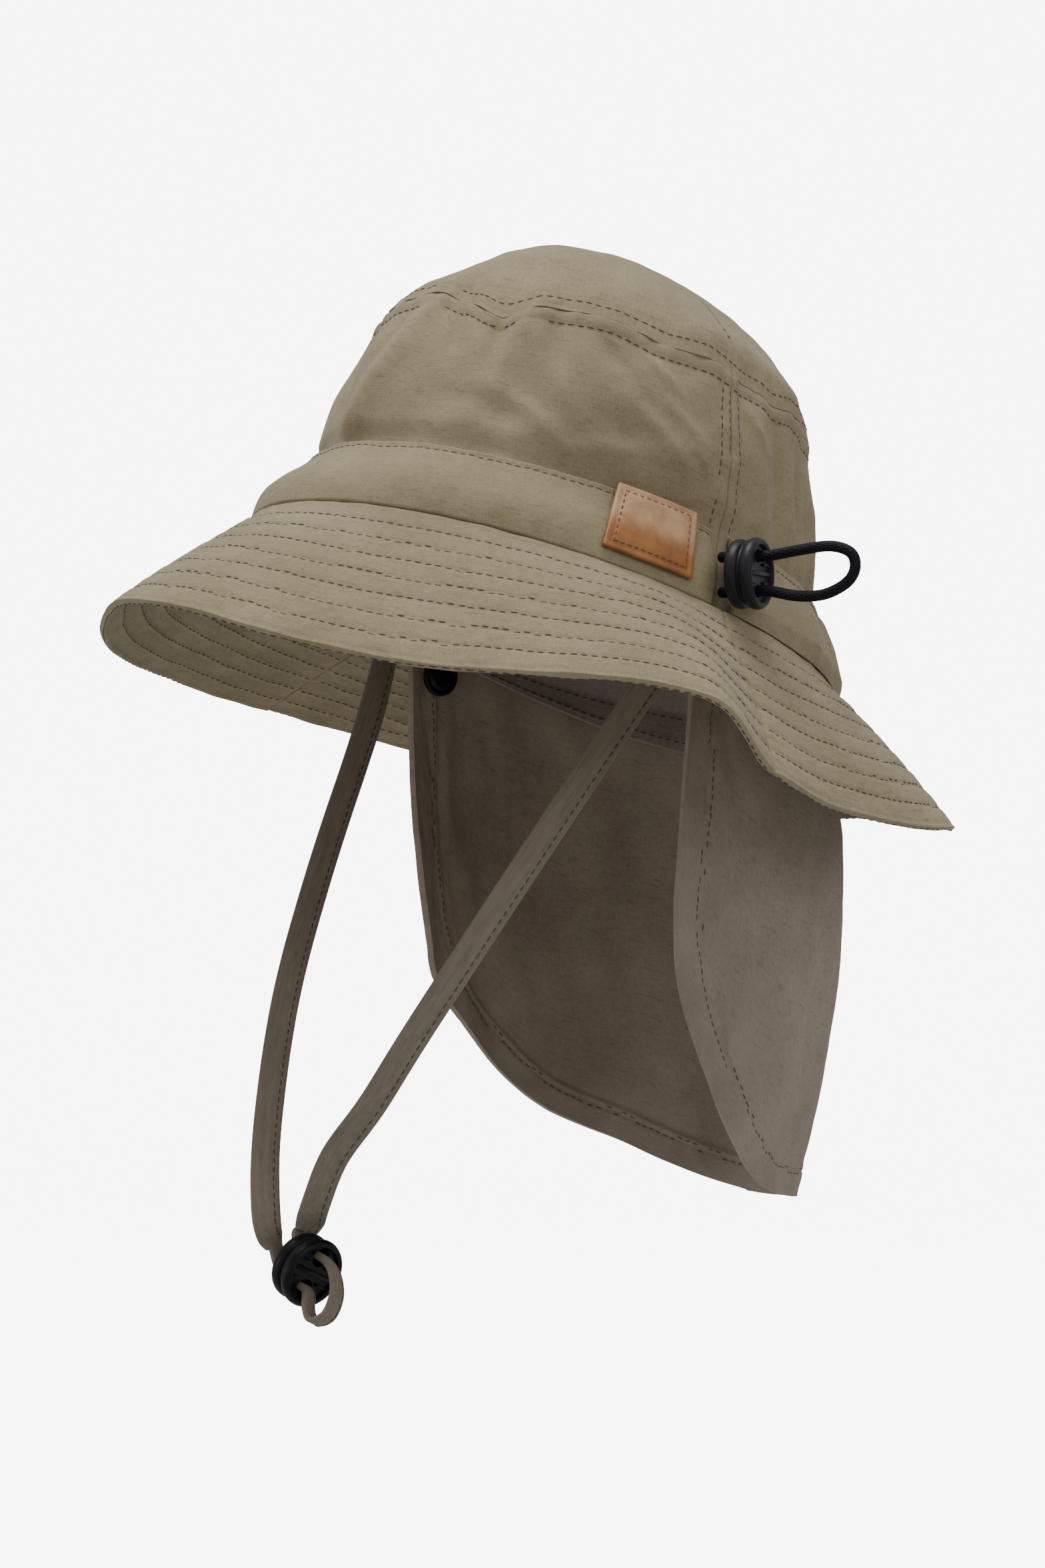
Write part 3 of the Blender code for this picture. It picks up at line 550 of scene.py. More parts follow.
def sweatband_form(u, v):
    angle = math.tau * u
    rise = 2 * v - 1
    sag = SWEATBAND_SAG * np.clip(np.sin(angle), 0, 1) ** 1.5 + GAP * 3
    height = np.where(rise > 0, SWEATBAND_RISE * rise, sag * rise)
    wall = wall_form(angle, np.clip(height, 0, 1) / WALL_HEIGHT)
    lean = 0.0020 * np.clip(-rise, 0, 1) * sag / SWEATBAND_SAG
    inset = (WALL_CLOTH * 1.15 + GAP + lean)[:, None]
    points = wall - outward(angle) * inset
    points[:, 2] = height
    return seated(points)


def sweatband_relief(u, v, base):
    along, up = u * SWEATBAND_LONG, v * SWEATBAND_TALL
    return 0.0004 * wander(along, up, 41, 0.012, 0.02) - 0.00025 * near((v - 0.12) * SWEATBAND_TALL, 0.0006)


sweatband = lay_cloth("sweatband_cloth", 260, 24, sweatband_form, WALL_CLOTH, sweatband_relief)

# %% [markdown]
# The neck flap is one layer of thin cotton. Its sides and lower edge are turned over twice
# and stitched down 8 mm from the edge, so a stiffer border runs all round it. It hangs from
# the back half of the opening and its own weight bends it in at the front edges.

# %% Neck flap
FLAP_DROP, FLAP_CLOTH, FLAP_TUCK, FLAP_INSET = 0.1735, 0.0014, 0.0030, 0.0024
FIRST, LAST = -4, 176
FLAP_START, FLAP_END = math.radians(FIRST), math.radians(LAST)
FLAP_CURL_LEFT, FLAP_CURL_RIGHT, FLAP_WAVE = 0.0125, 0.0075, 0.0016
HEM_STITCH, HEM_FOLD = 0.0076, 0.0096
FLAP_HEM = ((-4, 0.46), (-3.5, 0.54), (-3, 0.585), (-1.5, 0.645), (0, 0.688), (4, 0.77), (8, 0.835),
            (12, 0.885), (20, 0.935), (40, 0.975), (90, 1.0), (120, 0.95), (140, 0.89), (150, 0.85),
            (160, 0.77), (167, 0.695), (171, 0.635), (174, 0.55), (175.3, 0.46), (176, 0.36))
FLAP_DRAPE = ((0.00, 1.0, 1.0, 0.0), (0.25, 1.060, 1.050, 0.6), (0.50, 1.055, 1.040, 1.0),
              (0.75, 1.0, 0.985, 1.0), (1.00, 0.895, 0.870, 0.6))


def hem_share(degrees):
    """How low the hem hangs, with the measured line rounded over a few degrees each way."""
    reach = 6 * np.clip(np.minimum(degrees - FIRST, LAST - degrees) / 16, 0, 1)
    return np.mean([read(FLAP_HEM, 1, degrees + reach * aside) for aside in np.linspace(-1, 1, 9)], axis=0)


def flap_surface(angle, drop):
    inset = 2 * FLAP_INSET
    top = seated(oval(angle, RIM_WIDTH - inset, RIM_LENGTH - inset, -FLAP_TUCK))
    hem = -FLAP_DROP * hem_share(np.degrees(angle))
    height = top[:, 2] + (hem - top[:, 2]) * drop
    fallen = np.minimum(1, (top[:, 2] - height) / (FLAP_DROP + top[:, 2]))
    span = FLAP_END - FLAP_START
    from_edge = np.minimum(angle - FLAP_START, FLAP_END - angle) / span
    deepest = np.where(top[:, 0] > 0, FLAP_CURL_LEFT, FLAP_CURL_RIGHT)
    curl = deepest * read(FLAP_DRAPE, 3, fallen) * np.clip(1 - from_edge / 0.16, 0, 1) ** 2
    wave = FLAP_WAVE * fallen * np.sin(9 * angle) * np.clip(from_edge * 8, 0, 1)
    x = top[:, 0] * read(FLAP_DRAPE, 2, fallen) - np.copysign(curl, top[:, 0])
    y = top[:, 1] * read(FLAP_DRAPE, 1, fallen)
    return np.stack([x, y, height], -1) + outward(angle) * wave[:, None]


def flap_form(u, v):
    """Columns and rows lie closer together towards the edges, where the folded border is."""
    across, up = (share - 0.10 * np.sin(math.tau * share) for share in (u, v))
    return flap_surface(FLAP_START + (FLAP_END - FLAP_START) * across, 1 - up)


def flap_border():
    """The free edge of the flap, down one side, along the hem and up the other side."""
    down, across = np.linspace(1, 0, 200), np.linspace(0, 1, 500)
    left = flap_form(0 * down, down)
    hem = flap_form(across, 0 * across)
    right = flap_form(0 * down + 1, down[::-1])
    return np.concatenate([left, hem[1:-1], right])


free_edge = flap_border()
edge_tree = kdtree.KDTree(len(free_edge))
for index, point in enumerate(free_edge):
    edge_tree.insert(point, index)
edge_tree.balance()


def from_free_edge(points):
    return np.array([edge_tree.find(point)[2] for point in points])


# Across and up are shares of the flap's width and height
FLAP_CREASES = (
    (0.16, 0.42, 0.12, 0.10, 1.0, 5.0), (0.10, 0.30, 0.15, 0.16, -0.9, 3.5),
    (0.20, 0.26, 0.15, 0.04, 1.1, 4.5), (0.09, 0.70, 0.16, 0.52, -0.9, 5.0),
    (0.13, 0.88, 0.11, 0.66, 0.9, 4.5), (0.22, 0.80, 0.20, 0.50, -1.0, 7.0),
    (0.32, 0.90, 0.35, 0.40, 1.3, 8.0), (0.45, 0.92, 0.43, 0.35, -1.3, 8.0),
    (0.57, 0.90, 0.59, 0.30, 1.3, 8.0), (0.70, 0.88, 0.67, 0.40, -1.2, 7.0),
    (0.80, 0.60, 0.84, 0.20, 1.0, 6.0), (0.88, 0.80, 0.90, 0.40, -0.9, 5.0),
)
FLAP_ACROSS = 0.30


def flap_folds(u, v, base):
    x, y, z = base.T
    around = u * FLAP_ACROSS
    folds = 0.0026 * (1 - v) * wander(around + z * 0.25, z, 51, 0.030, 0.11)
    small = 0.0008 * wander(around - z * 0.3, z, 53, 0.012, 0.03)
    creases = creased(FLAP_CREASES, u, v, FLAP_ACROSS, FLAP_DROP)
    return folds + small + creases + 0.00012 * wander(around, z, 54, 0.004, 0.006)


def hem_stitching(u, base, inside, seed):
    """The groove of the hem's stitches, and the puckers beside it."""
    pucker = wander(u * FLAP_ACROSS, base[:, 2], seed, 0.005, 0.005)
    return 0.0004 * near(inside - HEM_STITCH, 0.006) * pucker - 0.0003 * near(inside - HEM_STITCH, 0.0008)


def flap_relief(u, v, base):
    inside = from_free_edge(base)
    border = 0.0003 * step_up(-inside, -HEM_FOLD, 0.0004)
    return flap_folds(u, v, base) + border + hem_stitching(u, base, inside, 55)


def flap_inner(u, v, base):
    inside = from_free_edge(base)
    fold = 0.0008 * step_up(-inside, -HEM_FOLD, 0.00025)
    return fold - flap_folds(u, v, base) + hem_stitching(u, base, inside, 57)


flap = lay_cloth("neck_flap_cloth", 250, 140, flap_form, FLAP_CLOTH, flap_relief, flap_inner)

# %% [markdown]
# A tape or a cord is a section carried along a route. The route's points give its middle
# line, and at each place one direction says which way the flat of the tape lies. The section
# is a rounded oblong for the tape and a circle for the cord. Its UV map runs along it.

# %% Carrying a section along a route
def carry(name, centres, sides, wide, thick, around, power):
    """A tube along centres; power 1 makes its section round, and less makes it squarer."""
    count = len(centres)
    ahead = np.gradient(centres, axis=0)
    ahead /= np.linalg.norm(ahead, axis=1, keepdims=True)
    sides = sides - ahead * (sides * ahead).sum(1, keepdims=True)
    sides /= np.linalg.norm(sides, axis=1, keepdims=True)
    faces = np.cross(sides, ahead)
    piece, u, v = add_grid(name, count - 1, around)
    i = np.rint(u * (count - 1)).astype(int)
    turn = -math.tau * v
    c = np.sign(np.cos(turn)) * np.abs(np.cos(turn)) ** power
    s = np.sign(np.sin(turn)) * np.abs(np.sin(turn)) ** power
    offset = sides[i] * (wide[i] / 2 * c)[:, None] + faces[i] * (thick[i] / 2 * s)[:, None]
    length = along_line(centres)[-1]
    measure_uv(piece, u, v, (length, 2 * (wide.mean() + thick.mean())))
    write_points(piece.data, centres[i] + offset)
    edit_mesh(piece, MERGE, (bpy.ops.mesh.fill_holes, {"sides": 0}), FACE_OUT)
    print(name, round(1000 * length), "mm long")
    return piece, sides, faces, length


# %% [markdown]
# Each cord lock is a turned shape: two thick discs with a groove between them, so that
# fingers can grip it. The chin lock faces the wearer's left; the lock on the drawcord stands
# close outside the slit.

# %% Places of the two locks
def lock_matrix(centre, faces, up):
    z = Vector(faces).normalized()
    x = Vector(up).cross(z).normalized()
    turn = Matrix((x, z.cross(x), z)).transposed().to_4x4()
    return Matrix.Translation(centre) @ turn


STRAP_REACH, STRAP_DROP = 0.0874, 0.1830
LOCK_RADIUS, LOCK_THICK, HOLE_UP = 0.0100, 0.0084, 0.0049
chin_place = lock_matrix((0, -STRAP_REACH, -STRAP_DROP), (0.948, 0.040, -0.300), (0.26, 0.43, 0.86))
slit_point = seated(band_form(np.array([0.0]), np.array([0.45])))[0]
side_place = lock_matrix((slit_point[0] + 0.0092, 0.0040, 0.0102), (0.905, 0.424, 0), (0, 0, 1))
for lock, where in (("chin", chin_place), ("side", side_place)):
    print(lock, "lock at", [round(c, 4) for c in where.translation])

# %% [markdown]
# The drawcord is round braided elastic, 3 mm thick. It comes out of the slit through one
# hole of its lock, makes a loop and goes back through the other. Both ends go on inside the
# band, so it is a cord that ends in the object, and it is short enough to hold its own loop.

# %% Drawcord
CORD_ROUTE = (
    (-0.0086, 0.0014, HOLE_UP), (-0.0066, 0.0003, HOLE_UP), (-0.0046, 0, HOLE_UP),
    (0, 0, HOLE_UP), (0.0060, 0, HOLE_UP), (0.0150, 0, 0.0062), (0.0240, 0, 0.0070),
    (0.0298, 0, 0.0050), (0.0310, 0, 0.0008), (0.0285, 0, -0.0032), (0.0220, 0, -0.0062),
    (0.0140, 0, -0.0064), (0.0060, 0, -HOLE_UP), (0, 0, -HOLE_UP), (-0.0046, 0, -HOLE_UP),
    (-0.0066, 0.0003, -HOLE_UP), (-0.0086, 0.0014, -HOLE_UP),
)
CORD_DIAMETER = 0.0031
CORD_STOPS, CORD_STEPS = 49, 193
cord_points = smooth_route([side_place @ Vector((b, u, o)) for o, b, u in CORD_ROUTE], CORD_STOPS)
cord_centres = smooth_route(cord_points, CORD_STEPS)
level = np.tile(np.array(side_place.col[0][:3]), (CORD_STEPS, 1))
full = np.full(CORD_STEPS, CORD_DIAMETER)
cord, _, _, cord_length = carry("drawcord_braid", cord_centres, level, full, full, 24, 1.0)

# %% [markdown]
# The chin strap is one flat tape, 8 mm wide, folded from cloth and closed with one row of
# stitches near its edge. It leaves the opening at the wearer's left, passes down through the
# lock, makes a small loop, comes back and goes up to the right. In the lock it is squeezed.

# %% Chin strap
STRAP_WIDTH, STRAP_THICK = 0.0082, 0.0016
TOP_LEFT, LEFT, AT_LOCK = (0, -0.85, 0.50), (-0.57, -0.69, 0.46), (0.163, -0.893, 0.397)
RIGHT, TOP_RIGHT = (-0.51, -0.62, 0.16), (0, -0.90, 0.35)
LEFT_LEG = (
    (0.901, 0.046, -0.014, TOP_LEFT), (0.898, 0.075, 0.035, TOP_LEFT),
    (0.834, 0.195, 0.115, LEFT), (0.623, 0.511, 0.370, LEFT), (0.318, 0.752, 0.629, LEFT),
    (0.158, 0.842, 0.750, LEFT), (0.052, 0.922, 0.830, LEFT), (-0.013, 0.957, 0.905, LEFT),
    (-0.075, 0.947, 0.944, AT_LOCK),
)
RIGHT_LEG = (
    (-0.205, 1.030, 0.929, RIGHT), (-0.362, 0.930, 0.803, RIGHT), (-0.580, 0.715, 0.601, RIGHT),
    (-0.752, 0.455, 0.393, RIGHT), (-0.868, 0.192, 0.175, RIGHT),
    (-0.898, 0.075, 0.035, TOP_RIGHT), (-0.901, 0.046, -0.014, TOP_RIGHT),
)
IN_HOLE = HOLE_UP / LOCK_RADIUS
LOCK_LOOP = (
    (-0.92, 0.66, 0.66, 1.10), (-0.64, IN_HOLE, 0.54, 1.35), (0, IN_HOLE, 0.54, 1.35),
    (0.50, IN_HOLE, 0.54, 1.35), (1.00, 0.34, 0.62, 1.10), (1.48, -0.12, 0.68, 1.0),
    (1.60, -0.72, 0.68, 1.0), (1.22, -1.08, 0.68, 1.0), (0.80, -0.86, 0.60, 1.10),
    (0.48, -IN_HOLE, 0.54, 1.35), (0, -IN_HOLE, 0.54, 1.35), (-0.60, -IN_HOLE, 0.54, 1.35),
    (-1.02, -0.30, 0.66, 1.10), (-1.48, 0.02, 0.80, 1.0),
)


def leg(stops):
    return [((side * RIM_WIDTH / 2, -forward * STRAP_REACH, -down * STRAP_DROP), across, 1.0, 1.0)
            for side, forward, down, across in stops]


through = [(chin_place @ Vector((0, up * LOCK_RADIUS, out * LOCK_RADIUS)), AT_LOCK, wide, thick)
           for out, up, wide, thick in LOCK_LOOP]
stops = leg(LEFT_LEG) + through + leg(RIGHT_LEG)
coarse = 3 * (len(stops) - 1) + 1
fine = 4 * (coarse - 1) + 1
strap_line, strap_sides = (smooth_route(smooth_route([stop[i] for stop in stops], coarse), fine)
                           for i in (0, 1))
strap_wide, strap_thick = (smooth_route([(stop[i],) for stop in stops], fine)[:, 0] for i in (2, 3))
strap, sides, faces, _ = carry("chin_strap_tape", strap_line, strap_sides, STRAP_WIDTH * strap_wide,
                               STRAP_THICK * strap_thick, 20, 0.45)

# %% [markdown]
# The locks' section is drawn as half an outline and turned round the axis, as on a lathe.
# The face is dished, with a bar between the two holes and short ribs that stiffen it.

# %% Turning a section
def turned(name, outline, matrix, steps=56):
    """A turned solid from its outline, which runs from the face's middle to the back's."""
    piece = new_shape(bpy.ops.mesh.primitive_circle_add, name, vertices=len(outline), radius=1.0)
    write_points(piece.data, np.array([(radius, 0, height) for radius, height in outline]))
    whole_turn = {"steps": steps, "angle": math.tau, "center": (0, 0, 0), "axis": (0, 0, 1)}
    edit_mesh(piece, (bpy.ops.mesh.spin, whole_turn), MERGE,
              (bpy.ops.mesh.dissolve_degenerate, {"threshold": 0.000001}), FACE_OUT)
    piece.matrix_world = matrix
    return piece


def settle(piece):
    """Puts a piece's place into its mesh."""
    only(piece)
    bpy.ops.object.transform_apply(location=True, rotation=True, scale=True)


def smooth(piece, limit=50):
    only(piece)
    bpy.ops.object.shade_smooth_by_angle(angle=math.radians(limit))


def outline_curve(points, count):
    return [tuple(point) for point in smooth_route(points, count)]


# %% Two cord locks
HALF = LOCK_THICK / 2
FACE = 0.62 * HALF
BAR_LONG, RIB_OUT, RIB_UP = 0.0148, 0.0052, 0.0026
lock_rim = outline_curve([(0.78, 0.66), (0.815, 0.93), (0.87, 1.0), (0.95, 0.93), (1.0, 0.66),
                          (0.985, 0.34), (0.93, 0.15), (0.865, 0.06), (0.87, -0.10), (0.94, -0.20),
                          (0.97, -0.50), (0.95, -0.82), (0.88, -0.98), (0.78, -1.0)], 40)
lock_outline = [(0.0, FACE), (0.5 * LOCK_RADIUS, FACE)]
lock_outline += [(radius * LOCK_RADIUS, height * HALF) for radius, height in lock_rim]
lock_outline += [(0.5 * LOCK_RADIUS, -HALF), (0.0, -HALF)]


def add_box(matrix, centre, size):
    box = new_shape(bpy.ops.mesh.primitive_cube_add, size=1.0)
    box.scale, box.location = size, centre
    settle(box)
    box.matrix_world = matrix
    apply_modifier(box, "BEVEL", width=min(size) * 0.3, segments=2)
    return box


def cord_lock(name, matrix, hole):
    body = turned(name, lock_outline, matrix)
    for up in (-HOLE_UP, HOLE_UP):
        drill = new_shape(bpy.ops.mesh.primitive_cylinder_add, vertices=32, radius=hole / 2,
                          depth=LOCK_THICK * 2)
        drill.matrix_world = matrix @ Matrix.Translation((0, up, 0))
        apply_modifier(body, "BOOLEAN", operation="DIFFERENCE", object=drill, solver="EXACT")
        bpy.data.objects.remove(drill)
    ribs = [add_box(matrix, (0, 0, FACE + 0.0003), (BAR_LONG, 0.0012, 0.0014))]
    ribs += [add_box(matrix, (side * RIB_OUT, up * RIB_UP, FACE + 0.0002), (0.0040, 0.0008, 0.0012))
             for side in (-1, 1) for up in (-1, 1)]
    for piece in (*ribs, body):
        settle(piece)
    only(body, *ribs)
    bpy.ops.object.join()
    smooth(body, 40)
    print(name, len(body.data.polygons), "faces")
    return body


chin_lock = cord_lock("chin_cord_lock_shell", chin_place, 0.0058)
side_lock = cord_lock("side_cord_lock_shell", side_place, CORD_DIAMETER + 0.0006)

# %% [markdown]
# A press snap is a domed cap with a rolled rim. One sits inside each top corner of the flap.
# Its place and direction are read from its own solid, so that the cap lies where the solid is.

# %% Press snaps
SNAP_RADIUS, SNAP_HALF = 0.0060, 0.0016


def snap_cap(node):
    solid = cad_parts[node]
    corners = np.array([solid.matrix_world @ vertex.co for vertex in solid.data.vertices])
    centre = corners.mean(0)
    axis = np.linalg.svd(corners - centre)[2][2]
    if axis @ np.array([-centre[0], -centre[1], 0.0]) < 0:
        axis = -axis
    matrix = Matrix.Translation(centre) @ Vector(axis).to_track_quat("Z", "Y").to_matrix().to_4x4()
    outline = outline_curve([(0.0, 0.95), (0.25, 0.93), (0.52, 0.80), (0.66, 0.52), (0.74, 0.44),
                             (0.84, 0.62), (0.94, 0.52), (1.0, 0.1), (0.96, -0.5), (0.88, -0.9)], 26)
    outline += [(0.3, -0.95), (0.0, -0.95)]
    cap = turned(f"{node}_cap", [(r * SNAP_RADIUS, h * SNAP_HALF) for r, h in outline], matrix, steps=40)
    settle(cap)
    smooth(cap, 40)
    return cap


snap_left, snap_right = snap_cap("snap_left"), snap_cap("snap_right")

# %% [markdown]
# The patch is a small piece of vegetable-tanned leather sewn round its edge. It bends with
# the band. Its stitches press it down, so that it is thickest in the middle.

# %% Leather patch
PATCH_WIDTH, PATCH_HEIGHT, PATCH_THICK = 0.0228, 0.0215, 0.0012
PATCH_RISE, PATCH_ANGLE = 0.0146, math.radians(-17)
PATCH_SEAM = 0.0017


def patch_form(u, v):
    heart = band_form(np.array([PATCH_ANGLE]), np.array([0.5]))[0] - (0, 0, BAND_HEIGHT / 2)
    half_turn = PATCH_WIDTH / 2 / np.linalg.norm(heart)
    angle = PATCH_ANGLE + half_turn * (2 * u - 1)
    lean = math.atan2((BAND[0][2] - BAND[2][2]) * RIM_WIDTH / 2, BAND_HEIGHT)
    height = PATCH_RISE + PATCH_HEIGHT / 2 * (2 * v - 1) * math.cos(lean)
    rise = ((height - GAP) / BAND_HEIGHT)[:, None]
    low, high, middle = (band_form(angle, np.full_like(angle, at)) for at in (0.0, 1.0, 0.5))
    bulge = np.clip(((middle - (low + high) / 2) * outward(angle)).sum(1), 0, 1)
    lift = (PATCH_THICK + GAP + bulge)[:, None]
    return seated(low + (high - low) * rise + outward(angle) * lift)


def patch_relief(u, v, base):
    from_edge = np.minimum(np.minimum(u, 1 - u) * PATCH_WIDTH, np.minimum(v, 1 - v) * PATCH_HEIGHT)
    pillow = 0.0004 * step_up(from_edge, PATCH_SEAM + 0.0009, 0.0005)
    groove = 0.00025 * near(from_edge - PATCH_SEAM, 0.0005)
    return 0.0006 + pillow - groove - 0.0003 * near(from_edge, 0.0004)


patch = lay_cloth("leather_patch_hide", 70, 62, patch_form, PATCH_THICK, patch_relief, fold=0.25)

# %% [markdown]
# One stitch is a short thread that dips into the cloth at both ends. It is modelled once and
# copied along each seam, turned to follow the seam and to lie on the cloth. The rows are
# first drawn near the cloth and then moved onto it.

# %% Sewing
one_stitch = new_shape(bpy.ops.mesh.primitive_uv_sphere_add, segments=6, ring_count=4, radius=0.5)
stitch_points = read_points(one_stitch.data)
stitch_faces = [tuple(face.vertices) for face in one_stitch.data.polygons]
bpy.data.objects.remove(one_stitch)


def evenly(line, pitch):
    far = along_line(line)
    where = np.arange(pitch / 2, far[-1], pitch)
    return np.stack([np.interp(where, far, line[:, axis]) for axis in range(3)], -1)


def sew(name, cloth, lines, pitch=0.0028, long=0.0021, thick=0.00046, sink=0.00002):
    """Rows of stitches on a cloth's surface, as one piece."""
    points, faces = [], []
    for line in lines:
        places = evenly(np.asarray(line, float), pitch)
        ahead = np.gradient(places, axis=0)
        for spot, way in zip(places, ahead):
            _, spot, normal, _ = cloth.closest_point_on_mesh(Vector(spot))
            way = Vector(way) - normal * normal.dot(Vector(way))
            way.normalize()
            side = way.cross(normal)
            axes = np.array([side * thick, normal * thick, way * long])
            first = len(points) * len(stitch_points)
            points.append(stitch_points @ axes + np.array(spot - normal * sink))
            faces += [tuple(first + corner for corner in face) for face in stitch_faces]
    mesh = bpy.data.meshes.new(name)
    mesh.from_pydata(np.concatenate(points), [], faces)
    mesh.shade_smooth()
    piece = bpy.data.objects.new(name, mesh)
    bpy.context.scene.collection.objects.link(piece)
    print(name, len(points), "stitches")
    return piece


def row_on(form, u, v, count=400, lift=0.0):
    """A line on a form, with u or v given as a pair of ends."""
    us = np.linspace(*u, count) if isinstance(u, tuple) else np.full(count, u)
    vs = np.linspace(*v, count) if isinstance(v, tuple) else np.full(count, v)
    return form(us, vs) + normals_of(form, us, vs) * lift


# %% Stitches on the crown, band and brim
MIDDLE_ROW, SIDE_ROWS, END, SIDE_END = 0.9968, (0.34, 0.93), (0.002, 0.998), (0.003, 0.997)
seam_share = SIDE_SEAM / WALL_ACROSS
sewn, edge_thread = [], []


def stitch(cloth, rows, *sizes, kind="stitches", where=sewn):
    where.append(sew(cloth.name.replace("cloth", kind), cloth, rows, *sizes))


for cloth, (_, start) in zip((wall_front, wall_back), HALVES):
    form = wall_place(start)
    rows = [row_on(form, END, 1 - TOP_ROW / WALL_HEIGHT)]
    rows += [row_on(form, share, SIDE_ROWS) for share in (seam_share, 1 - seam_share, MIDDLE_ROW)]
    stitch(cloth, rows)
stitch(tip, [row_on(tip_place, (0.0, 1.0), float(np.interp(TOP_ROW, tip_arc, tip_shares)), 600)])
for cloth, form, count in ((band_front, front_band_form, 400), (band_back, back_band_form, 600)):
    stitch(cloth, [row_on(form, END, 1 - BAND_ROW / BAND_HEIGHT, count)], 0.0026, 0.0021)
for cloth, (_, start) in zip((brim_front, brim_back), HALVES):
    form = brim_place(start)
    stitch(cloth, [row_on(form, SIDE_END, 1 - share, 500, lift) for share in BRIM_ROWS
                   for lift in (0.001, -0.003)])
    lip, inside = (row_on(form, SIDE_END, at, 500, -0.0020) for at in (0.0, 0.02))
    stitch(cloth, [lip + (lip - inside)], 0.0032, 0.0024, kind="edge_stitches", where=edge_thread)

# %% Stitches on the flap, strap, sweatband and patch
def hem_places():
    """The hem's row of stitches, as places on the flap's form."""
    grid_u, grid_v = np.meshgrid(np.linspace(0, 1, 260), np.linspace(0, 1, 160))
    away = from_free_edge(flap_form(grid_u.ravel(), grid_v.ravel())).reshape(grid_u.shape)
    line = []
    for across, up, gone in zip(grid_u[0], grid_v.T, away.T):
        hits = np.where((gone[:-1] < HEM_STITCH) & (gone[1:] >= HEM_STITCH))[0]
        if len(hits):
            i = hits[0]
            share = (HEM_STITCH - gone[i]) / (gone[i + 1] - gone[i])
            line.append((across, up[i] + share * (up[i + 1] - up[i])))
    sides = []
    for edge, inward, corner in ((0, 0.25, line[0]), (1, 0.75, line[-1])):
        places = np.linspace(edge, inward, 200)
        heights = np.linspace(corner[1], 0.985, 60)
        gone = [from_free_edge(flap_form(places, np.full(200, up))) for up in heights]
        sides.append([(places[np.argmax(far >= HEM_STITCH)], up) for far, up in zip(gone, heights)])
    return np.array(sides[0][::-1] + line + sides[1])


hem_path = hem_places()
hem_base, hem_way = flap_form(*hem_path.T), normals_of(flap_form, *hem_path.T)
sewn.append(sew("neck_flap_stitches", flap, [hem_base + hem_way * 0.002, hem_base - hem_way * 0.004],
                0.0026, 0.0020, 0.00040))
tape_edge = strap_line - sides * (STRAP_WIDTH * strap_wide * 0.30)[:, None]
tape_rows = [tape_edge + faces * 0.003, tape_edge - faces * 0.003]
sewn.append(sew("chin_strap_stitches", strap, tape_rows, 0.0028, 0.0021, 0.00045))
stitch(sweatband, [row_on(sweatband_form, (0.0, 1.0), v, 500, -0.003) for v in (0.10, 0.42)])
inset_u, inset_v = PATCH_SEAM / PATCH_WIDTH, PATCH_SEAM / PATCH_HEIGHT
patch_rows = [row_on(patch_form, (inset_u, 1 - inset_u), v, 60, 0.002) for v in (inset_v, 1 - inset_v)]
patch_rows += [row_on(patch_form, u, (inset_v, 1 - inset_v), 60, 0.002) for u in (inset_u, 1 - inset_u)]
patch_thread = sew("leather_patch_stitches", patch, patch_rows, 0.0022, 0.0016, 0.00050)

# %% [markdown]
# Colours are picked as sRGB hex values, as in any paint program, and one function turns them
# into the linear values that the shader needs. One small function adds a node.

# %% Colours and nodes
def linear(hexes):
    parts = [int(hexes[i:i + 2], 16) / 255 for i in (1, 3, 5)]
    return (*[part / 12.92 if part <= 0.04045 else ((part + 0.055) / 1.055) ** 2.4 for part in parts], 1.0)


def add_node(tree, kind, settings=None, links=None):
    node = tree.nodes.new("ShaderNode" + kind)
    for key, value in (settings or {}).items():
        if isinstance(key, int) or key in node.inputs:
            node.inputs[key].default_value = value
        else:
            setattr(node, key, value)
    for key, source in (links or {}).items():
        tree.links.new(source, node.inputs[key])
    return node


def new_material(name, **sockets):
    material = bpy.data.materials.new(name)
    material.use_nodes = True
    shader = material.node_tree.nodes["Principled BSDF"]
    for key, value in sockets.items():
        shader.inputs[key.replace("_", " ")].default_value = value
    return material, material.node_tree, shader


def two_colours(tree, shader, first, second, share):
    """A blend of two hex colours as the shader's colour."""
    mix = add_node(tree, "Mix", {"data_type": "RGBA", 6: linear(first), 7: linear(second)}, {0: share})
    tree.links.new(mix.outputs[2], shader.inputs["Base Color"])


def add_bump(tree, shader, strength, distance, height):
    bump = add_node(tree, "Bump", {"Strength": strength, "Distance": distance}, {"Height": height})
    tree.links.new(bump.outputs[0], shader.inputs["Normal"])


def map_range(tree, value, low, high, bottom=0.0, top=1.0):
    limits = {"From Min": low, "From Max": high, "To Min": bottom, "To Max": top}
    return add_node(tree, "MapRange", limits, {"Value": value}).outputs[0]


def combine(tree, operation, first, second, use_clamp=False):
    return add_node(tree, "Math", {"operation": operation, "use_clamp": use_clamp},
                    {0: first, 1: second}).outputs[0]


def noise_node(tree, where, scale, detail, rough=0.5):
    return add_node(tree, "TexNoise", {"Scale": scale, "Detail": detail, "Roughness": rough},
                    {"Vector": where}).outputs["Fac"]


# %% [markdown]
# Piece-dyed cotton poplin has a plain weave of slightly uneven yarns. Each yarn takes the dye
# a little differently, which shows as short fine streaks along both thread directions, with
# broad faded patches over them. It has no shine, only the soft sheen of fibre ends at the
# edges. Threads lie 0.25 mm apart, which is too fine to show, so the streaks are drawn about
# 0.33 mm wide and 2.4 mm long, with thicker slubs among them.

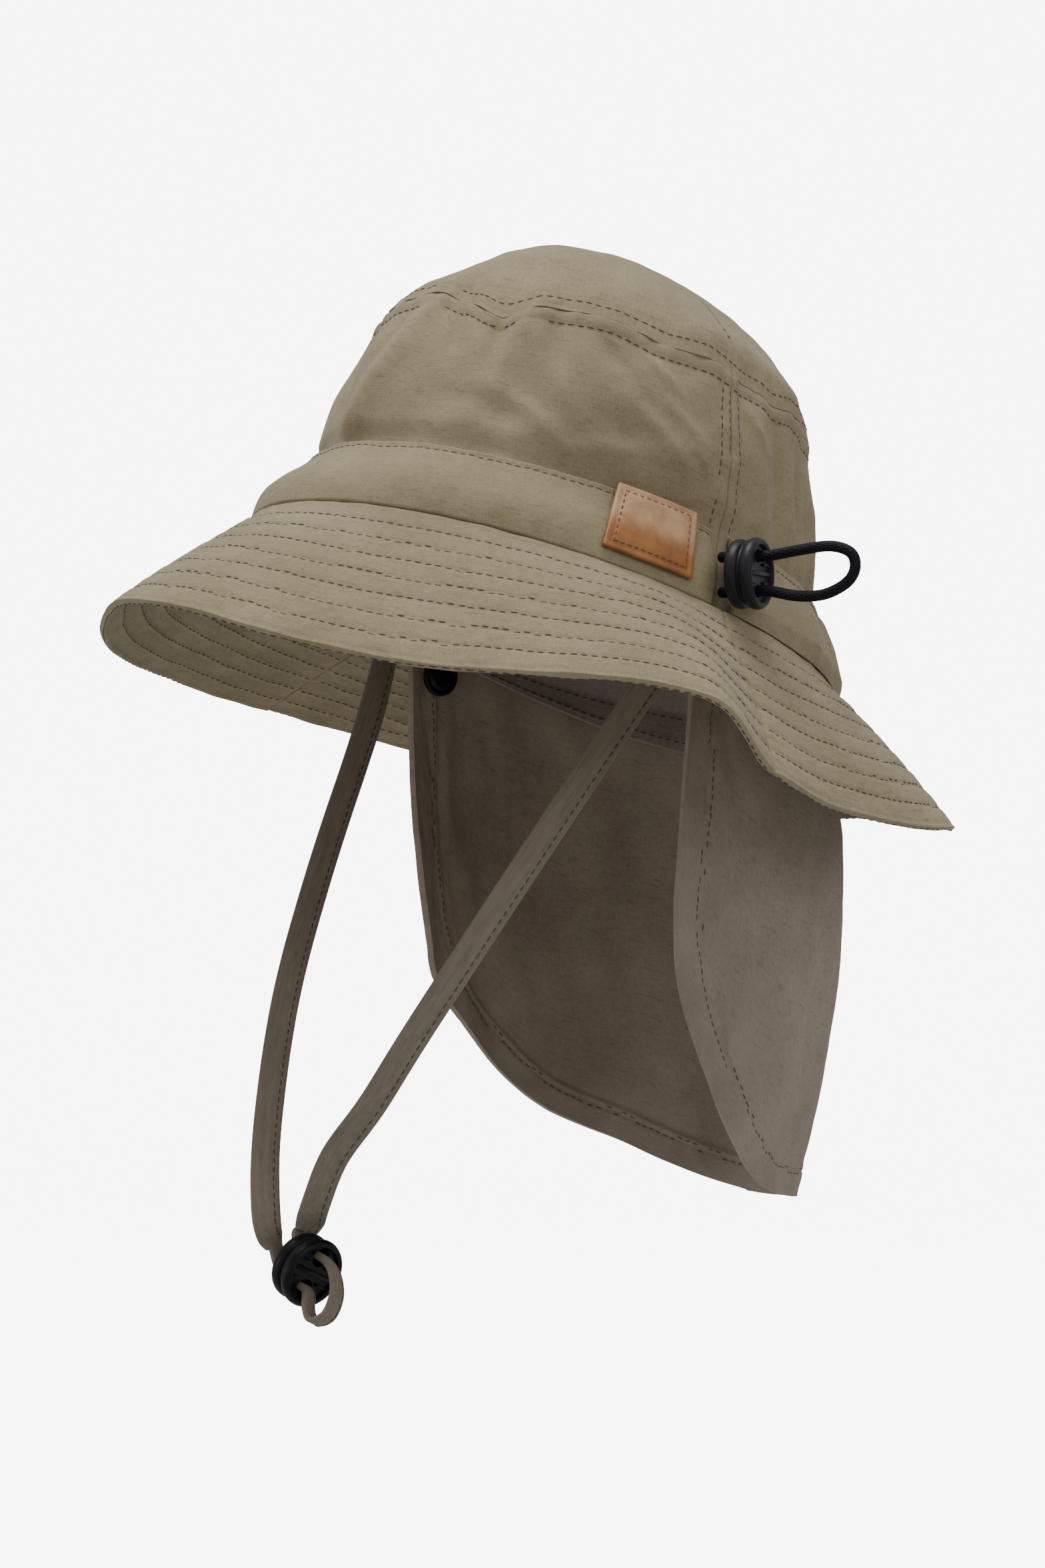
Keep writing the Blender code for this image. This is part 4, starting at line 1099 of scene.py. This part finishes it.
# %% Cotton
def cotton(name, lit, shade, sheen=0.12, mottle=0.5, yarns=((3000, 420, 1), (420, 3000, 1))):
    material, tree, shader = new_material(name, Roughness=0.9, Sheen_Weight=sheen,
                                          Sheen_Roughness=0.45, Specular_IOR_Level=0.25)
    where = add_node(tree, "TexCoord").outputs
    streaks = []
    for scale in yarns + ((150, 900, 1),):
        run = add_node(tree, "Mapping", {"Scale": scale}, {"Vector": where["UV"]})
        streaks.append(noise_node(tree, run.outputs[0], 1.0, 3.0, 0.6))
    slubs = map_range(tree, streaks[2], 0.56, 0.70, 0.0, -0.35)
    weave = combine(tree, "ADD", combine(tree, "ADD", streaks[0], streaks[1]), slubs)
    patches = noise_node(tree, where["Object"], 38.0, 5.0, 0.55)
    faded = map_range(tree, patches, 0.3, 0.7, -mottle / 2, mottle / 2)
    blend = combine(tree, "ADD", map_range(tree, weave, 0.6, 1.4), faded, use_clamp=True)
    two_colours(tree, shader, shade, lit, blend)
    add_bump(tree, shader, 0.5, 0.0002, weave)
    return material


crown_cotton = cotton("olive cotton poplin, piece-dyed", "#A39679", "#83775B")
under_cotton = cotton("grey cotton lining, plain weave", "#9E9188", "#82766C")
flap_cotton = cotton("thin olive cotton, piece-dyed", "#A09382", "#84776A", mottle=0.7)
tape_cotton = cotton("folded cotton tape", "#8B8071", "#756B5E", mottle=0.4,
                     yarns=((120, 2200, 1), (420, 1500, 1)))

# %% [markdown]
# Sewing thread is spun polyester, twisted and a little smoother than cotton, so it catches
# some light. It is drawn darker than the cloth, as each stitch sits in its own small shadow.

# %% Thread
def thread(name, colour, other):
    material, tree, shader = new_material(name, Roughness=0.6, Specular_IOR_Level=0.4)
    where = add_node(tree, "TexCoord").outputs["Object"]
    two_colours(tree, shader, colour, other, noise_node(tree, where, 900.0, 1.0))
    return material


olive_thread = thread("spun polyester thread, dark olive", "#3F3A27", "#575039")
dark_thread = thread("spun polyester thread, slate", "#2E2B2C", "#4A4546")
brown_thread = thread("waxed thread, brown", "#6A3716", "#8C4F22")

# %% [markdown]
# Vegetable-tanned leather has small pebbled cells with fine wrinkles between them, a warm
# colour that is uneven where oil has soaked in, and a low satin shine from its finish. Its
# lower part is painted darker and more saturated than its upper part, as painted shade where
# the patch bends away from the light.

# %% Leather
def leather(name):
    material, tree, shader = new_material(name, Roughness=0.42, Specular_IOR_Level=0.5)
    where = add_node(tree, "TexCoord").outputs
    cells = add_node(tree, "TexVoronoi", {"Scale": 1500.0, "feature": "SMOOTH_F1"},
                     {"Vector": where["Object"]}).outputs["Distance"]
    stain = noise_node(tree, where["Object"], 130.0, 6.0, 0.65)
    spread = map_range(tree, stain, 0.32, 0.68)
    place = add_node(tree, "SeparateXYZ", None, {0: where["UV"]})
    # Painted shade: by height on the patch, the colour goes from the darker lower pair to the lighter upper
    # pair, where the patch bends away from the light.
    up = map_range(tree, place.outputs[1], 0.0065, 0.0125)
    low, high = (add_node(tree, "Mix", {"data_type": "RGBA", 6: linear(dark), 7: linear(light)},
                          {0: spread}).outputs[2]
                 for dark, light in (("#8A5526", "#A8703A"), ("#A67B58", "#CBA27C")))
    colour = add_node(tree, "Mix", {"data_type": "RGBA"}, {0: up, 6: low, 7: high})
    tree.links.new(colour.outputs[2], shader.inputs["Base Color"])
    tree.links.new(map_range(tree, stain, 0.0, 1.0, 0.32, 0.55), shader.inputs["Roughness"])
    add_bump(tree, shader, 0.4, 0.00015, cells)
    return material


hide = leather("vegetable-tanned leather, tan")

# %% [markdown]
# Nylon cord locks are injection moulded in a tool with a fine spark-eroded surface, so they
# have a soft satin gloss and an even, very fine grain.

# %% Moulded plastic
def moulded(name, colour, worn, rough):
    material, tree, shader = new_material(name, Roughness=rough, Specular_IOR_Level=0.22)
    where = add_node(tree, "TexCoord").outputs["Object"]
    two_colours(tree, shader, colour, worn, noise_node(tree, where, 150.0, 3.0))
    add_bump(tree, shader, 0.2, 0.00008, noise_node(tree, where, 2600.0, 2.0))
    return material


grey_nylon = moulded("nylon, moulded, dark grey", "#1B1C21", "#27282E", 0.42)
black_nylon = moulded("nylon, moulded, black", "#08080C", "#111117", 0.36)

# %% [markdown]
# Braided elastic: fine black yarns cross each other in a diagonal herringbone round a rubber
# core. The braid's pitch is 1 mm, drawn as two slanted waves in the cord's own measure. The
# colour follows the waves, darker in the grooves between yarns and lighter on their crests,
# as painted shade.

# %% Braided elastic
def braid(name):
    material, tree, shader = new_material(name, Roughness=0.6, Specular_IOR_Level=0.15)
    where = add_node(tree, "TexCoord")
    waves = []
    for lean in (0.9, -0.9):
        run = add_node(tree, "Mapping", {"Scale": (1000, 1000, 1), "Rotation": (0, 0, lean)},
                       {"Vector": where.outputs["UV"]})
        waves.append(add_node(tree, "TexWave", {"Scale": 0.32}, {"Vector": run.outputs[0]}).outputs["Fac"])
    height = combine(tree, "MAXIMUM", *waves)
    # Painted shade: darker in the grooves between yarns, lighter on their crests.
    two_colours(tree, shader, "#07070A", "#1C1C25", height)
    add_bump(tree, shader, 0.5, 0.0002, height)
    return material


black_braid = braid("braided elastic, black")

# %% [markdown]
# Every piece now gets its material, rides on the hat's one body, and stands for the plain
# solid that it covers.

# %% Dressing the hat
def dress(piece, materials, slot, *nodes):
    piece.data.materials.clear()
    for material in materials:
        piece.data.materials.append(material)
    if len(materials) == 1:
        piece.data.polygons.foreach_set("material_index", np.zeros(len(piece.data.polygons), int))
    if nodes:
        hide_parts(*nodes)
    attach(piece, "root")


for cloth in (wall_front, wall_back, tip, band_front, band_back, brim_front, brim_back,
              sweatband, flap, strap, cord, patch):
    smooth(cloth)
both_sides = [crown_cotton, under_cotton]
for piece, looks, slot, node in (
        (tip, both_sides, "cotton", "crown_tip"),
        (wall_front, both_sides, "cotton", "crown_wall_front"),
        (wall_back, both_sides, "cotton", "crown_wall_back"),
        (band_front, [crown_cotton] * 2, "cotton", "hat_band_front"),
        (band_back, [crown_cotton] * 2, "cotton", "hat_band_back"),
        (brim_front, both_sides, "cotton", "brim_front"),
        (brim_back, both_sides, "cotton", "brim_back"),
        (sweatband, [under_cotton] * 2, "inner_cotton", "sweatband"),
        (flap, [flap_cotton] * 2, "flap_cotton", "neck_flap"),
        (strap, [tape_cotton], "strap_tape", "chin_strap"),
        (cord, [black_braid], "elastic_cord", "drawcord"),
        (chin_lock, [black_nylon], "black_plastic", "chin_cord_lock"),
        (side_lock, [grey_nylon], "grey_plastic", "side_cord_lock"),
        (snap_left, [black_nylon], "black_plastic", "snap_left"),
        (snap_right, [black_nylon], "black_plastic", "snap_right"),
        (patch, [hide], "tan_leather", "leather_patch")):
    dress(piece, looks, slot, node)
dress(patch_thread, [brown_thread], "tan_leather")
for thread_look, pieces in ((olive_thread, sewn), (dark_thread, edge_thread)):
    for stitches in pieces:
        dress(stitches, [thread_look], "cotton")

# %% [markdown]
# The hat is shown before a plain pale sweep that curves up behind it, under large soft
# lights: one overhead, a weak low one from the front left and one from the right. The sweep is
# seen but doesn't throw light back up, so the under sides stay dark as they are under a real
# overhead light in a large room.

# %% Floor and lights
sweep, across, along = add_grid("pale_sweep", 2, 60)
FLOOR, BACK, BEND, SWEEP_LONG, SWEEP_WIDE = -0.36, 1.6, 0.5, 6.0, 8.0
run = along * SWEEP_LONG - 2.0
turn = np.clip((run - BACK) / BEND, 0, math.pi / 2)
behind = np.where(run < BACK, run, BACK + BEND * np.sin(turn))
rise = np.where(run < BACK, 0, BEND * (1 - np.cos(turn)) + np.clip(run - BACK - BEND * math.pi / 2, 0, 9))
back_way, side_way = -np.array(to_camera), np.array(to_right)
points = behind[:, None] * back_way + ((across - 0.5) * SWEEP_WIDE)[:, None] * side_way
points[:, 2] = FLOOR + rise
write_points(sweep.data, points)
smooth(sweep)
pale, tree, shader = new_material("matt painted sweep, pale", Roughness=0.9,
                                  Emission_Color=linear("#FFFFFF"), Emission_Strength=7.0)
where = add_node(tree, "TexCoord").outputs["Object"]
two_colours(tree, shader, "#F4F4F3", "#F8F8F8", noise_node(tree, where, 3.0, 2.0))
sweep.data.materials.append(pale)
sweep.visible_diffuse = False
sweep.visible_glossy = False


def add_light(name, place, target, size, power):
    data = bpy.data.lights.new(name, "AREA")
    data.shape, data.size, data.energy = "DISK", size, power
    light = bpy.data.objects.new(name, data)
    bpy.context.scene.collection.objects.link(light)
    light.location = place
    light.rotation_euler = (Vector(place) - Vector(target)).to_track_quat("Z", "Y").to_euler()


add_light("overhead", (-0.1, -0.25, 1.5), (0, 0, 0), 0.9, 20)
add_light("front_low", (-0.7, -1.45, 0.0), (0, 0, -0.1), 0.8, 1.9)
add_light("right", (1.6, -0.1, 0.6), (0, 0, 0), 1.0, 4.0)
world = bpy.data.worlds.new("soft room")
bpy.context.scene.world = world
world.use_nodes = True
world.node_tree.nodes["Background"].inputs["Color"].default_value = (1, 1, 1, 1)
world.node_tree.nodes["Background"].inputs["Strength"].default_value = 0.50
